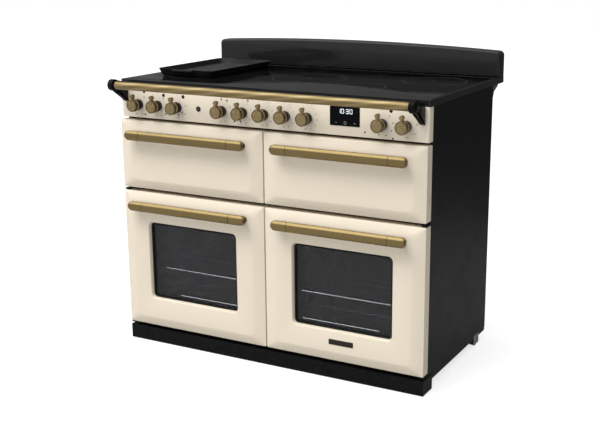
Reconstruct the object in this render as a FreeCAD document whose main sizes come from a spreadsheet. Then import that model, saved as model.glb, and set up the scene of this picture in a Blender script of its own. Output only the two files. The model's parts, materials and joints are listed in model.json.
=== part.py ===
import FreeCAD, Part
import math
import os

import PartDesign
import Sketcher

# Free-standing induction range cooker with two ovens, a grill and a proving drawer.
# Frame: +X to the cooker's right, +Y to its back, +Z up. The origin is on the floor, under the middle
# of the box that holds the whole cooker. All lengths are in millimetres.

SIZES = {
    # Overall shape
    "hob_width": 1092,
    "hob_height": 896,
    "hob_depth": 639,
    "hob_edge": 20,
    "side_step": 5,
    "base_height": 42,
    "base_flange": 13,
    "base_inset": 1,
    "rear_overhang": 93,
    "sheet": 1.5,
    "overrun": 5,
    "seat_gap": 0.3,
    "running_clearance": 0.05,
    # Rows of doors on the front
    "front_inset": 1.5,
    "centre_gap": 4,
    "row_gap": 12.5,
    "fascia_gap": 9,
    "door_thickness": 44,
    "door_gap": 3,
    "door_proud": 19.3,
    "upper_door_height": 225.5,
    # Pressed door skins
    "skin_wall": 2.5,
    "bevel_depth": 10,
    "bevel_side": 38,
    "bevel_end": 30,
    "door_corner": 3,
    "field_corner": 14,
    "liner_depth": 12,
    # Oven windows
    "window_side": 99.25,
    "window_head": 97.3,
    "window_foot": 98.8,
    "window_corner": 17,
    "reveal_depth": 12,
    "reveal_width": 4,
    "glass_thickness": 4,
    "pane_overlap": 8,
    # Side hinges of the oven doors
    "pivot_inset": 8,
    "hinge_pin_radius": 4,
    "hinge_pin_depth": 12,
    "hinge_tab": 4,
    "hinge_tab_gap": 2,
    "hinge_tab_reach": 9,
    # Bottom hinges of the grill door
    "grill_pivot_front": 16,
    "grill_pivot_foot": 8,
    "grill_pivot_side": 50,
    "hinge_arm": 5,
    "hinge_arm_half": 4.5,
    "hinge_slot_gap": 1,
    "hinge_block": 8,
    "hinge_block_half": 6.5,
    "grill_pin_radius": 3,
    # Door handles
    "handle_margin": 46.75,
    "handle_height": 31,
    "handle_depth": 16,
    "handle_reach": 40,
    "handle_edge": 4,
    "handle_corner": 9,
    "handle_drop_upper": 43.5,
    "handle_drop_oven": 41,
    "post_radius": 11,
    "post_foot_radius": 13,
    "post_foot": 3,
    "post_inset": 21,
    # Badge plate, bare
    "badge_width": 84,
    "badge_height": 17,
    "badge_thickness": 1.2,
    "badge_corner": 2,
    # Plinth
    "plinth_step": 1,
    "plinth_clearance": 3,
    "plinth_height": 48,
    "plinth_gap": 13,
    "plinth_setback": 11,
    "plinth_return": 70,
    # Feet and rear rollers
    "foot_radius": 20,
    "foot_disc": 10,
    "stud_radius": 5,
    "foot_collar": 9,
    "foot_inset": 60,
    "foot_back": 45,
    "roller_radius": 17,
    "roller_width": 16,
    "roller_pin_radius": 4,
    "roller_forward": 79,
    "fork_wall": 2,
    "fork_gap": 1,
    "fork_length": 46,
    "fork_foot": 6,
    # Fascia and its controls
    "fascia_height": 102.5,
    "fascia_proud": 1,
    "fascia_wall": 2,
    "fascia_corner": 8,
    "knob_rise": 43.2,
    "knob_pitch_share": 0.1396,
    "left_group_share": 0.7305,
    "right_group_share": 0.802,
    "bezel_radius": 19,
    "bezel_length": 30,
    "bezel_bore": 5,
    "knob_gap": 0.5,
    "knob_radius": 20,
    "knob_disc": 12,
    "knob_edge": 1.5,
    "lug_width": 13,
    "lug_top": 36,
    "lug_depth": 22,
    "lug_clearance": 1.3,
    "shaft_radius": 3,
    "shaft_depth": 18,
    "switch_radius": 17,
    "switch_length": 24,
    "display_share": 0.5087,
    "display_rise": 57.8,
    "display_width": 98,
    "display_height": 53,
    "display_proud": 1,
    "display_case_margin": 6,
    "display_case_depth": 24,
    "lamp_share": 0.4437,
    "lamp_rise": 43.4,
    "lamp_radius": 5,
    "lamp_neck": 3.5,
    "lamp_proud": 2.5,
    "lamp_depth": 18,
    # Handrail
    "rail_reach": 66,
    "rail_rise": 8,
    "rail_radius": 13.25,
    "rail_wall": 1.5,
    "rail_inset": 13,
    "sleeve_length": 20,
    "bracket_radius": 18.5,
    "bracket_arm_width": 16,
    "bracket_arm_inset": 3,
    "bracket_foot_rise": 51.5,
    "bracket_foot_drop": 2,
    "bracket_foot_depth": 6,
    # Hob
    "glass_margin": 10,
    "rear_strip": 24,
    "glass_sheet": 6,
    "glass_ledge": 12,
    "hob_corner": 6,
    "trim_chamfer": 1.5,
    "coil_gap": 0.5,
    "coil_bore": 22,
    "coil_large": 105,
    "coil_small": 88,
    "module_width": 300,
    "module_depth": 260,
    "module_height": 50,
    "module_side": 296,
    # Backguard
    "guard_height": 84.5,
    "guard_crown": 14,
    "guard_depth": 52,
    "guard_wall": 2,
    "guard_corner": 16,
    "guard_round": 9,
    "vent_width": 58,
    "vent_height": 7,
    "vent_margin": 88,
    "vent_foot": 3,
    # Griddle plate
    "griddle_width": 222,
    "griddle_height": 24,
    "griddle_flare": 9,
    "griddle_base": 6,
    "griddle_wall": 5,
    "griddle_corner": 22,
    "griddle_side": 150,
    "griddle_near": 117,
    "griddle_far": 50,
    "griddle_ear_width": 90,
    "griddle_ear_reach": 16,
    "griddle_ear": 6,
    # Cavities behind the doors
    "frame_thickness": 2,
    "cavity_side": 51.25,
    "oven_cavity_end": 50,
    "upper_cavity_end": 20.5,
    "cavity_corner": 18,
    "oven_rear_space": 100,
    "upper_rear_space": 130,
    "liner_flange": 14,
    # Oven fittings
    "wire_radius": 3,
    "wire_weld": 1,
    "cross_wire_radius": 2.4,
    "thin_wire_radius": 1.5,
    "ladder_front": 50,
    "ladder_rear": 100,
    "ladder_foot": 39,
    "ladder_pitch": 47.5,
    "shelf_front": 35,
    "shelf_rear": 23,
    "cover_side": 50,
    "cover_end": 40,
    "cover_depth": 42,
    "intake_radius": 9,
    "intake_ring": 34,
    "fan_radius": 68,
    "fan_disc": 1.5,
    "blade_height": 22,
    "blade_root": 34,
    "fan_hub": 10,
    "fan_shaft_radius": 4,
    "fan_shaft_depth": 30,
    "fan_rear_gap": 9,
    "motor_radius": 32,
    "motor_length": 40,
    "ring_radius": 88,
    "ring_tube": 4,
    "ring_lead": 30,
    # Grill fittings
    "element_tube": 4,
    "element_drop": 22,
    "element_front": 60,
    "element_pitch": 46,
    "element_rear": 80,
    "runner_height": 60,
    "runner_width": 8,
    "runner_thickness": 4,
    "pan_side": 20,
    "pan_rear": 50,
    "pan_height": 36,
    "pan_rim": 16,
    "pan_back": 20,
    # Drawer
    "drawer_side": 18,
    "drawer_rear": 35,
    "drawer_height": 120,
    "drawer_foot": 34,
    "drawer_runner": 10,
    "rail_thickness": 6,
    "rail_ledge": 15,
    # Back panel and the duct under the hob
    "back_side": 11,
    "back_rise": 8,
    "back_drop": 27,
    "slot_width": 60,
    "slot_height": 5,
    "slot_pitch": 14,
    "slot_drop": 222,
    "slot_side": 270,
    "terminal_width": 120,
    "terminal_height": 90,
    "terminal_depth": 34,
    "terminal_rise": 80,
    "terminal_side": 170,
    "gland_radius": 12,
    "duct_side": 6,
    "duct_height": 83,
    "duct_reach": 62,
    "duct_lip": 9,
}
VENT_COUNT = 12
SLOT_COUNT = 8
LADDER_COUNT = 6
SHELF_STEPS = (1, 3)
SHELF_WIRES = 15
RACK_WIRES = 11
BLADE_COUNT = 12
INTAKE_COUNT = 8
ELEMENT_PASSES = 4

half = 0.5
slot_round_share = 0.4
bar_round_share = 0.45
lug_flat_share = 0.6
bracket_neck_share = 0.3
bracket_side_share = 0.9
duct_low_share = 0.45
duct_high_share = 0.8

Vector = FreeCAD.Vector
doc = FreeCAD.newDocument("RangeCooker")


class Length:
    """A value together with the spreadsheet expression that it comes from."""

    def __init__(self, value, text):
        self.value = value
        self.text = text

    def joined(self, sign, other, value):
        return Length(value, "(%s %s %s)" % (self.text, sign, length(other).text))

    def __add__(self, other):
        return self.joined("+", other, self.value + length(other).value)

    def __sub__(self, other):
        return self.joined("-", other, self.value - length(other).value)

    def __mul__(self, other):
        return self.joined("*", other, self.value * length(other).value)

    def __truediv__(self, other):
        return self.joined("/", other, self.value / length(other).value)

    def __neg__(self):
        return Length(-self.value, "(0 - %s)" % self.text)

    def __radd__(self, other):
        return length(other) + self

    def __rsub__(self, other):
        return length(other) - self

    def __rmul__(self, other):
        return length(other) * self


def length(number):
    return number if isinstance(number, Length) else Length(float(number), repr(number))


class Sheet:
    """The driving sizes, kept in a spreadsheet and read as attributes."""

    def __init__(self, sizes):
        self.cells = doc.addObject("Spreadsheet::Sheet", "Sizes")
        for row, (name, value) in enumerate(sizes.items(), 1):
            self.cells.set("A%d" % row, name)
            self.cells.set("B%d" % row, str(value))
            self.cells.setAlias("B%d" % row, name)
            setattr(self, name, Length(float(value), "Sizes." + name))
        doc.recompute()


P = Sheet(SIZES)


# Places that several pieces share

rear_y = (P.hob_depth + P.fascia_proud + P.rail_reach + P.bracket_radius) * half
hob_front_y = rear_y - P.hob_depth
front_y = hob_front_y - P.door_proud
fascia_y = hob_front_y - P.fascia_proud
fascia_back_y = fascia_y + P.fascia_wall
frame_y = front_y + P.door_thickness + P.door_gap
frame_back_y = frame_y + P.frame_thickness
panel_rear_y = rear_y - P.rear_overhang
roller_y = panel_rear_y - P.roller_forward

hob_half = P.hob_width * half
body_half = hob_half - P.side_step
front_half = hob_half - P.front_inset
plinth_half = hob_half - P.plinth_step
rail_half = hob_half - P.rail_inset - P.sleeve_length

hob_under = P.hob_height - P.hob_edge
fascia_foot = hob_under - P.fascia_height
upper_foot = fascia_foot - P.fascia_gap - P.upper_door_height
oven_head = upper_foot - P.row_gap
plinth_top = P.plinth_clearance + P.plinth_height
oven_foot = plinth_top + P.plinth_gap
oven_door_height = oven_head - oven_foot
knob_height = fascia_foot + P.knob_rise
rail_height = hob_under + P.rail_rise
display_x = front_half * P.display_share
display_z = fascia_foot + P.display_rise
lamp_x = 0 - front_half * P.lamp_share
lamp_z = fascia_foot + P.lamp_rise

door_width = front_half - P.centre_gap * half
door_half = door_width * half
door_centre = P.centre_gap * half + door_half
handle_length = door_width - P.handle_margin * 2
window_width = door_width - P.window_side * 2
window_height = oven_door_height - P.window_foot - P.window_head
window_middle = P.window_foot + window_height * half
sill_width = window_width - P.reveal_width * 2
sill_height = window_height - P.reveal_width * 2

cavity_width = door_width - P.cavity_side * 2
cavity_half = cavity_width * half
oven_cavity_height = oven_door_height - P.oven_cavity_end * 2
upper_cavity_height = P.upper_door_height - P.upper_cavity_end * 2
oven_cavity_foot = oven_foot + P.oven_cavity_end
upper_cavity_foot = upper_foot + P.upper_cavity_end
oven_cavity_depth = panel_rear_y - frame_back_y - P.oven_rear_space
upper_cavity_depth = panel_rear_y - frame_back_y - P.upper_rear_space
rung_reach = cavity_half - P.seat_gap - P.wire_radius * 3 + P.wire_weld

glass_width = P.hob_width - P.glass_margin * 2
glass_depth = P.hob_depth - P.glass_margin - P.rear_strip - P.guard_depth
glass_y = hob_front_y + P.glass_margin + glass_depth * half


# Helpers that bind sizes to expressions

def bind(item, **sizes):
    """Sets each named property and ties it to its expression."""
    for name, size in sizes.items():
        size = length(size)
        setattr(item, name, size.value)
        item.setExpression(name, size.text)


def place(item, x=0, y=0, z=0, rotation=None):
    """Puts an object at a place made of sizes, turned by a fixed rotation."""
    spot = [length(number) for number in (x, y, z)]
    turn = rotation or FreeCAD.Rotation()
    item.Placement = FreeCAD.Placement(Vector(*[size.value for size in spot]), turn)
    for axis, size in zip("xyz", spot):
        item.setExpression("Placement.Base." + axis, size.text)
    return item


ALONG_X = FreeCAD.Rotation(Vector(0, 0, 1), Vector(1, 0, 0))
ALONG_Y = FreeCAD.Rotation(Vector(0, 0, 1), Vector(0, 1, 0))


def block(name, size, corner):
    """A box of three sizes with its low corner at the given place."""
    item = doc.addObject("Part::Box", name)
    bind(item, Length=size[0], Width=size[1], Height=size[2])
    return place(item, *corner)


def rod(name, radius, span, start, rotation=None):
    """A cylinder that starts at the given place and runs along Z, or along X or Y when turned."""
    item = doc.addObject("Part::Cylinder", name)
    bind(item, Radius=radius, Height=span)
    return place(item, *start, rotation=rotation)


def cut(name, base, tools):
    """The base less all the tools."""
    tool = tools[0]
    if len(tools) > 1:
        tool = doc.addObject("Part::MultiFuse", name + "_tools")
        tool.Shapes = tools
    item = doc.addObject("Part::Cut", name)
    item.Base = base
    item.Tool = tool
    return item


def fuse(name, shapes):
    item = doc.addObject("Part::MultiFuse", name)
    item.Shapes = shapes
    item.Refine = True
    return item


def group(name, shapes):
    """Separate solids of one node."""
    item = doc.addObject("Part::Compound", name)
    item.Links = shapes
    return item


def mirror(name, source):
    """The copy on the other side of the cooker's middle plane."""
    item = doc.addObject("Part::Mirroring", name)
    item.Source = source
    item.Base = Vector(0, 0, 0)
    item.Normal = Vector(1, 0, 0)
    return item


# Helpers for sketched bodies

def origin_plane(body, role):
    return next(item for item in body.Origin.OriginFeatures if item.Role == role)


def new_sketch(body, name, role, lift=0):
    """A sketch on one of the body's own planes, moved along that plane's normal by lift."""
    sketch = body.newObject("Sketcher::SketchObject", name)
    sketch.AttachmentSupport = (origin_plane(body, role), "")
    sketch.MapMode = "FlatFace"
    lift = length(lift)
    sketch.AttachmentOffset = FreeCAD.Placement(Vector(0, 0, lift.value), FreeCAD.Rotation())
    sketch.setExpression("AttachmentOffset.Base.z", lift.text)
    return sketch


def fix_point(sketch, geometry, position, point):
    """Holds one point of the sketch at a place made of sizes; None leaves that direction free."""
    for kind, size, axis in (("DistanceX", point[0], -2), ("DistanceY", point[1], -1)):
        if size is None:
            continue
        if not isinstance(size, Length):
            sketch.addConstraint(Sketcher.Constraint("PointOnObject", geometry, position, axis))
            continue
        rule = Sketcher.Constraint(kind, -1, 1, geometry, position, size.value)
        index = sketch.addConstraint(rule)
        sketch.setExpression("Constraints[%d]" % index, size.text)


def flat(point):
    return Vector(length(point[0]).value, length(point[1]).value, 0)


def outline(sketch, points):
    """A closed outline with straight sides; each corner is held at its place."""
    first = sketch.GeometryCount
    count = len(points)
    sides = [Part.LineSegment(flat(points[i]), flat(points[(i + 1) % count])) for i in range(count)]
    sketch.addGeometry(sides)
    for i in range(count):
        joint = Sketcher.Constraint("Coincident", first + i, 2, first + (i + 1) % count, 1)
        sketch.addConstraint(joint)
    for i, point in enumerate(points):
        fix_point(sketch, first + i, 1, point)


def circle(sketch, centre, radius):
    index = sketch.addGeometry(Part.Circle(flat(centre), Vector(0, 0, 1), radius.value))
    rule = sketch.addConstraint(Sketcher.Constraint("Radius", index, radius.value))
    sketch.setExpression("Constraints[%d]" % rule, radius.text)
    fix_point(sketch, index, 3, centre)


def rounded(sketch, width, height, corner, centre_x, centre_z):
    """A rectangle with round corners: four sides joined by four tangent arcs."""
    low_x, high_x = centre_x - width * half, centre_x + width * half
    low_z, high_z = centre_z - height * half, centre_z + height * half
    x0, x1, z0, z1, r = [length(size).value for size in (low_x, high_x, low_z, high_z, corner)]
    first = sketch.GeometryCount
    sketch.addGeometry([
        Part.LineSegment(Vector(x0 + r, z0, 0), Vector(x1 - r, z0, 0)),
        Part.LineSegment(Vector(x1, z0 + r, 0), Vector(x1, z1 - r, 0)),
        Part.LineSegment(Vector(x1 - r, z1, 0), Vector(x0 + r, z1, 0)),
        Part.LineSegment(Vector(x0, z1 - r, 0), Vector(x0, z0 + r, 0)),
    ])
    centres = ((x1 - r, z0 + r, 270), (x1 - r, z1 - r, 0), (x0 + r, z1 - r, 90), (x0 + r, z0 + r, 180))
    for x, z, start in centres:
        whole = Part.Circle(Vector(x, z, 0), Vector(0, 0, 1), r)
        sketch.addGeometry(Part.ArcOfCircle(whole, math.radians(start), math.radians(start + 90)))
    rules = []
    for i in range(4):
        rules.append(Sketcher.Constraint("Tangent", first + i, 2, first + 4 + i, 1))
        rules.append(Sketcher.Constraint("Tangent", first + 4 + i, 2, first + (i + 1) % 4, 1))
    rules.append(Sketcher.Constraint("Horizontal", first))
    rules.append(Sketcher.Constraint("Horizontal", first + 2))
    rules.append(Sketcher.Constraint("Vertical", first + 1))
    rules.append(Sketcher.Constraint("Vertical", first + 3))
    rules += [Sketcher.Constraint("Equal", first + 4, first + 5 + i) for i in range(3)]
    sketch.addConstraint(rules)
    for rule, size in (
        (Sketcher.Constraint("Radius", first + 4, r), length(corner)),
        (Sketcher.Constraint("DistanceY", -1, 1, first, 1, z0), length(low_z)),
        (Sketcher.Constraint("DistanceX", -1, 1, first + 1, 1, x1), length(high_x)),
        (Sketcher.Constraint("DistanceY", -1, 1, first + 2, 1, z1), length(high_z)),
        (Sketcher.Constraint("DistanceX", -1, 1, first + 3, 1, x0), length(low_x)),
    ):
        index = sketch.addConstraint(rule)
        sketch.setExpression("Constraints[%d]" % index, size.text)


def grow(body, kind, sketch, span, reverse=False):
    """A Pad or Pocket of a sketch over one length."""
    item = body.newObject("PartDesign::" + kind, sketch.Name + "_" + kind.lower())
    item.Profile = sketch
    bind(item, Length=span)
    item.Reversed = reverse
    sketch.Visibility = False
    return item


def spin(body, kind, sketch, axis):
    """A Revolution or Groove of a sketch round one of its own axes."""
    item = body.newObject("PartDesign::" + kind, sketch.Name + "_" + kind.lower())
    item.Profile = sketch
    item.ReferenceAxis = (sketch, [axis])
    item.Angle = 360
    return item


def loft(body, kind, sketches):
    """An AdditiveLoft or SubtractiveLoft through two sketches, with straight sides."""
    item = body.newObject("PartDesign::" + kind, sketches[0].Name + "_loft")
    item.Profile = sketches[0]
    item.Sections = sketches[1:]
    item.Ruled = True
    return item


def edges_of(feature, wanted):
    """Names of the edges that pass a test on the edge's middle point and direction."""
    names = []
    for number, edge in enumerate(feature.Shape.Edges, 1):
        middle = edge.valueAt((edge.FirstParameter + edge.LastParameter) * half)
        along = edge.tangentAt((edge.FirstParameter + edge.LastParameter) * half)
        if wanted(middle, along):
            names.append("Edge%d" % number)
    return names


def soften(body, kind, feature, size, wanted):
    """A Fillet or Chamfer on the edges that pass the test."""
    doc.recompute([feature])
    item = body.newObject("PartDesign::" + kind, feature.Name + "_" + kind.lower())
    item.Base = (feature, edges_of(feature, wanted))
    bind(item, **{"Radius" if kind == "Fillet" else "Size": size})
    return item


def new_body(name):
    return doc.addObject("PartDesign::Body", name)


# Sketches on the XZ plane face the front, so lift and pads on it run towards -Y.

nodes = []


def node(item, name):
    """Names a finished sub-part."""
    item.Label = name
    nodes.append(item)
    return item


# Doors: pressed skins, inner panels, panes, handles

def door_skin(name, height, window):
    """A pressed front in its own frame: X from the middle, Y back from the face, Z from the foot."""
    body = new_body(name)
    middle = height * half
    rim = new_sketch(body, name + "_rim", "XZ_Plane", -P.door_thickness)
    rounded(rim, door_width, height, P.door_corner, 0, middle)
    slab = grow(body, "Pad", rim, P.door_thickness - P.bevel_depth)
    base = new_sketch(body, name + "_base", "XZ_Plane", -P.bevel_depth)
    rounded(base, door_width, height, P.door_corner, 0, middle)
    field_width = door_width - P.bevel_side * 2
    field_height = height - P.bevel_end * 2
    field = new_sketch(body, name + "_field", "XZ_Plane")
    rounded(field, field_width, field_height, P.field_corner, 0, middle)
    loft(body, "AdditiveLoft", [base, field])
    hollow = new_sketch(body, name + "_hollow", "XZ_Plane", -P.door_thickness)
    inner_width = door_width - P.skin_wall * 2
    inner_height = height - P.skin_wall * 2
    rounded(hollow, inner_width, inner_height, P.door_corner * half, 0, middle)
    grow(body, "Pocket", hollow, P.door_thickness - P.bevel_depth - P.skin_wall, True)
    pressing = new_sketch(body, name + "_pressing", "XZ_Plane", -P.door_thickness)
    rounded(pressing, field_width, field_height, P.field_corner, 0, middle)
    grow(body, "Pocket", pressing, P.door_thickness - P.skin_wall, True)
    if window:
        ring = new_sketch(body, name + "_ring", "XZ_Plane", -(P.reveal_depth + P.skin_wall))
        pane_w, pane_h = pane_size()
        rounded(ring, pane_w, pane_h, P.window_corner, 0, window_middle)
        grow(body, "Pad", ring, P.reveal_depth + P.skin_wall * half)
        mouth = new_sketch(body, name + "_mouth", "XZ_Plane")
        rounded(mouth, window_width, window_height, P.window_corner, 0, window_middle)
        sill = new_sketch(body, name + "_sill", "XZ_Plane", -P.reveal_depth)
        rounded(sill, sill_width, sill_height, P.window_corner - P.reveal_width, 0, window_middle)
        loft(body, "SubtractiveLoft", [mouth, sill])
        through = new_sketch(body, name + "_through", "XZ_Plane")
        rounded(through, sill_width, sill_height, P.window_corner - P.reveal_width, 0, window_middle)
        grow(body, "Pocket", through, P.door_thickness, False)
    return body


def pane_size():
    """Width and height of an outer window pane: the sill's opening plus its overlap."""
    return sill_width + P.pane_overlap * 2, sill_height + P.pane_overlap * 2


def door_liner(name, height, window):
    """The inner panel: a tray whose floor is the door's back face."""
    body = new_body(name)
    middle = height * half
    margin = (P.skin_wall + P.seat_gap) * 2
    corner = P.door_corner * half
    outer = new_sketch(body, name + "_outer", "XZ_Plane", -P.door_thickness)
    rounded(outer, door_width - margin, height - margin, corner, 0, middle)
    grow(body, "Pad", outer, P.liner_depth)
    inner = new_sketch(body, name + "_inner", "XZ_Plane", -(P.door_thickness - P.sheet))
    inset = margin + P.sheet * 2
    rounded(inner, door_width - inset, height - inset, corner, 0, middle)
    grow(body, "Pocket", inner, P.liner_depth, True)
    if window:
        hole = new_sketch(body, name + "_hole", "XZ_Plane", -(P.door_thickness - P.liner_depth))
        rounded(hole, sill_width, sill_height, P.window_corner - P.reveal_width, 0, window_middle)
        grow(body, "Pocket", hole, P.liner_depth)
    return body


def pane(name, back_y):
    """A window pane whose rear face is at the given depth behind the door's face."""
    body = new_body(name)
    width, tall = pane_size()
    shape = new_sketch(body, name + "_shape", "XZ_Plane", -back_y)
    rounded(shape, width, tall, P.window_corner, 0, window_middle)
    grow(body, "Pad", shape, P.glass_thickness)
    return body


def handle(name):
    """A bar with bevelled front edges on two posts; its own frame starts on the door's face."""
    body = new_body(name)
    tall = P.handle_height * half
    reach = P.handle_reach
    back = reach - P.handle_depth
    section = new_sketch(body, name + "_section", "YZ_Plane", -(handle_length * half))
    outline(section, [
        (-back, -tall),
        (-back, tall),
        (-(reach - P.handle_edge), tall),
        (-reach, tall - P.handle_edge),
        (-reach, P.handle_edge - tall),
        (-(reach - P.handle_edge), -tall),
    ])
    bar = grow(body, "Pad", section, handle_length)
    end = handle_length.value * half
    soften(body, "Fillet", bar, P.handle_corner, lambda middle, along: (
        abs(abs(middle.x) - end) < P.seat_gap.value
        and abs(along.y) > half
        and abs(abs(middle.z) - tall.value) < P.seat_gap.value))
    post_x = handle_length * half - P.post_inset
    posts = new_sketch(body, name + "_posts", "XZ_Plane")
    circle(posts, (post_x, 0), P.post_radius)
    circle(posts, (-post_x, 0), P.post_radius)
    grow(body, "Pad", posts, back + P.handle_edge * half)
    feet = new_sketch(body, name + "_feet", "XZ_Plane")
    circle(feet, (post_x, 0), P.post_foot_radius)
    circle(feet, (-post_x, 0), P.post_foot_radius)
    grow(body, "Pad", feet, P.post_foot)
    return body


def hang(item, name, foot):
    """Puts a left-hand door piece at its place on the front."""
    place(item, -door_centre, front_y, foot)
    return node(item, name)


def oven_door():
    skin_body = door_skin("oven_skin", oven_door_height, True)
    pivot_x = P.pivot_inset - door_half
    pin_hole = P.hinge_pin_radius + P.running_clearance
    bores = new_sketch(skin_body, "oven_skin_bores", "XY_Plane")
    circle(bores, (pivot_x, P.door_thickness * half), pin_hole)
    grow(skin_body, "Pocket", bores, oven_door_height, True)
    hang(skin_body, "left_door_skin", oven_foot)
    liner = hang(door_liner("oven_liner_panel", oven_door_height, True), "left_door_liner", oven_foot)
    outer = pane("outer_pane", P.reveal_depth + P.skin_wall + P.glass_thickness)
    inner = pane("inner_pane", P.door_thickness - P.sheet)
    for item in (outer, inner):
        place(item, -door_centre, front_y, oven_foot)
    glass = node(group("door_panes", [outer, inner]), "left_door_glass")
    grip = handle("oven_handle")
    place(grip, -door_centre, front_y, oven_head - P.handle_drop_oven)
    node(grip, "left_door_handle")
    pieces = (skin_body, liner, glass, grip)
    for item, kind in zip(pieces, ("skin", "liner", "glass", "handle")):
        node(mirror("right_" + kind, item), "right_door_" + kind)


def badge():
    body = new_body("badge")
    shape = new_sketch(body, "badge_shape", "XZ_Plane")
    rounded(shape, P.badge_width, P.badge_height, P.badge_corner, 0, 0)
    grow(body, "Pad", shape, P.badge_thickness)
    badge_z = oven_foot + (P.bevel_end + P.window_foot) * half
    place(body, door_centre, front_y, badge_z)
    node(body, "badge_plate")


def hinge_boxes(name, spread, front, back, low, high):
    """Boxes round both grill hinges, in the door's frame; spread is half a box's width."""
    boxes = []
    for side in (-1, 1):
        middle = (door_half - P.grill_pivot_side) * side
        corner = (middle - spread - door_centre, front_y + front, upper_foot + low)
        size = (spread * 2, back - front, high - low)
        boxes.append(block("%s_%d" % (name, side + 1), size, corner))
    return boxes


def hinge_rods(name, radius, spread):
    """Rods along X on the grill door's pivot line at both hinges."""
    rods = []
    for side in (-1, 1):
        middle = (door_half - P.grill_pivot_side) * side
        start = (middle - spread - door_centre, front_y + P.grill_pivot_front, upper_foot + P.grill_pivot_foot)
        rods.append(rod("%s_%d" % (name, side + 1), radius, spread * 2, start, ALONG_X))
    return rods


def grill_door():
    slot = P.hinge_arm * half + P.hinge_slot_gap
    block_reach = slot + P.hinge_block
    front = P.grill_pivot_front
    foot = P.grill_pivot_foot
    skin_body = door_skin("grill_skin", P.upper_door_height, False)
    place(skin_body, -door_centre, front_y, upper_foot)
    bosses = hinge_boxes("grill_boss", block_reach, front - P.hinge_block_half,
                         front + P.hinge_block_half, P.skin_wall, foot + P.hinge_arm_half + P.hinge_slot_gap)
    clear = P.hinge_arm_half + P.hinge_slot_gap
    slots = hinge_boxes("grill_slot", slot, front - clear, P.door_thickness + P.overrun,
                        -P.overrun, foot + clear)
    bores = hinge_rods("grill_bore", P.grill_pin_radius + P.running_clearance, block_reach + P.overrun)
    solid = fuse("grill_skin_bossed", [skin_body] + bosses)
    node(cut("grill_skin_cut", solid, slots + bores), "grill_door_skin")
    liner_body = door_liner("grill_liner_panel", P.upper_door_height, False)
    place(liner_body, -door_centre, front_y, upper_foot)
    notches = hinge_boxes("grill_notch", block_reach + P.seat_gap, front, P.door_thickness + P.overrun,
                          -P.overrun, foot + clear + P.seat_gap)
    node(cut("grill_liner_cut", liner_body, notches), "grill_door_liner")
    grip = handle("grill_handle")
    place(grip, -door_centre, front_y, upper_foot + P.upper_door_height - P.handle_drop_upper)
    node(grip, "grill_door_handle")


def door_hinges():
    """Pins of the oven doors on tabs, and arms with pins of the grill door, all on the front frame."""
    pieces = []
    pivot_x = P.pivot_inset - door_half - door_centre
    pivot_y = front_y + P.door_thickness * half
    reach = frame_y - pivot_y + P.hinge_tab_reach
    rows = (
        ("upper", oven_head + P.hinge_tab_gap, oven_head - P.hinge_pin_depth),
        ("lower", oven_foot - P.hinge_tab_gap - P.hinge_tab, oven_foot - P.hinge_tab_gap - P.hinge_tab),
    )
    pin_length = P.hinge_pin_depth + P.hinge_tab_gap + P.hinge_tab
    for name, tab_z, pin_z in rows:
        corner = (pivot_x - P.pivot_inset, pivot_y - P.hinge_tab_reach, tab_z)
        tab = block("tab_" + name, (P.pivot_inset + P.hinge_tab_reach, reach, P.hinge_tab), corner)
        pin = rod("pin_" + name, P.hinge_pin_radius, pin_length, (pivot_x, pivot_y, pin_z))
        piece = fuse("hinge_" + name, [tab, pin])
        pieces += [piece, mirror("hinge_mirror_" + name, piece)]
    front = P.grill_pivot_front
    foot = P.grill_pivot_foot
    arm = P.hinge_arm * half
    arms = hinge_boxes("arm", arm, front, P.door_thickness + P.door_gap,
                       foot - P.hinge_arm_half, foot + P.hinge_arm_half)
    eyes = hinge_rods("arm_eye", P.hinge_arm_half, arm)
    pins = hinge_rods("arm_pin", P.grill_pin_radius, arm + P.hinge_slot_gap + P.hinge_block)
    for number, parts in enumerate(zip(arms, eyes, pins)):
        pieces.append(fuse("grill_hinge_%d" % number, list(parts)))
    node(group("hinges", pieces), "door_hinges")


def drawer():
    """The right-hand upper front with its box, on side runners."""
    skin_body = door_skin("drawer_skin", P.upper_door_height, False)
    place(skin_body, door_centre, front_y, upper_foot)
    node(skin_body, "drawer_front")
    grip = handle("drawer_grip")
    place(grip, door_centre, front_y, upper_foot + P.upper_door_height - P.handle_drop_upper)
    node(grip, "drawer_handle")
    liner_body = door_liner("drawer_liner_panel", P.upper_door_height, False)
    place(liner_body, door_centre, front_y, upper_foot)
    back_of_door = front_y + P.door_thickness
    low = upper_foot + P.drawer_foot
    width = cavity_width - P.drawer_side * 2
    drawer_length = frame_back_y + upper_cavity_depth - P.drawer_rear - back_of_door
    left = door_centre - width * half
    shell = block("drawer_shell", (width, drawer_length, P.drawer_height), (left, back_of_door, low))
    wall = P.sheet
    inside = block("drawer_inside", (width - wall * 2, drawer_length - wall * 2, P.drawer_height),
                   (left + wall, back_of_door + wall, low + wall))
    box = cut("drawer_box_shell", shell, [inside])
    bars = []
    for side in (-1, 1):
        edge = door_centre + width * half * side
        start = edge if side > 0 else edge - P.drawer_runner
        runner_z = low + P.drawer_height * half + P.seat_gap
        size = (P.drawer_runner, drawer_length, P.rail_thickness)
        bars.append(block("drawer_bar_%d" % (side + 1), size, (start, back_of_door, runner_z)))
    node(fuse("drawer_box", [liner_body, box] + bars), "drawer_box")


# Body shell

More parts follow.
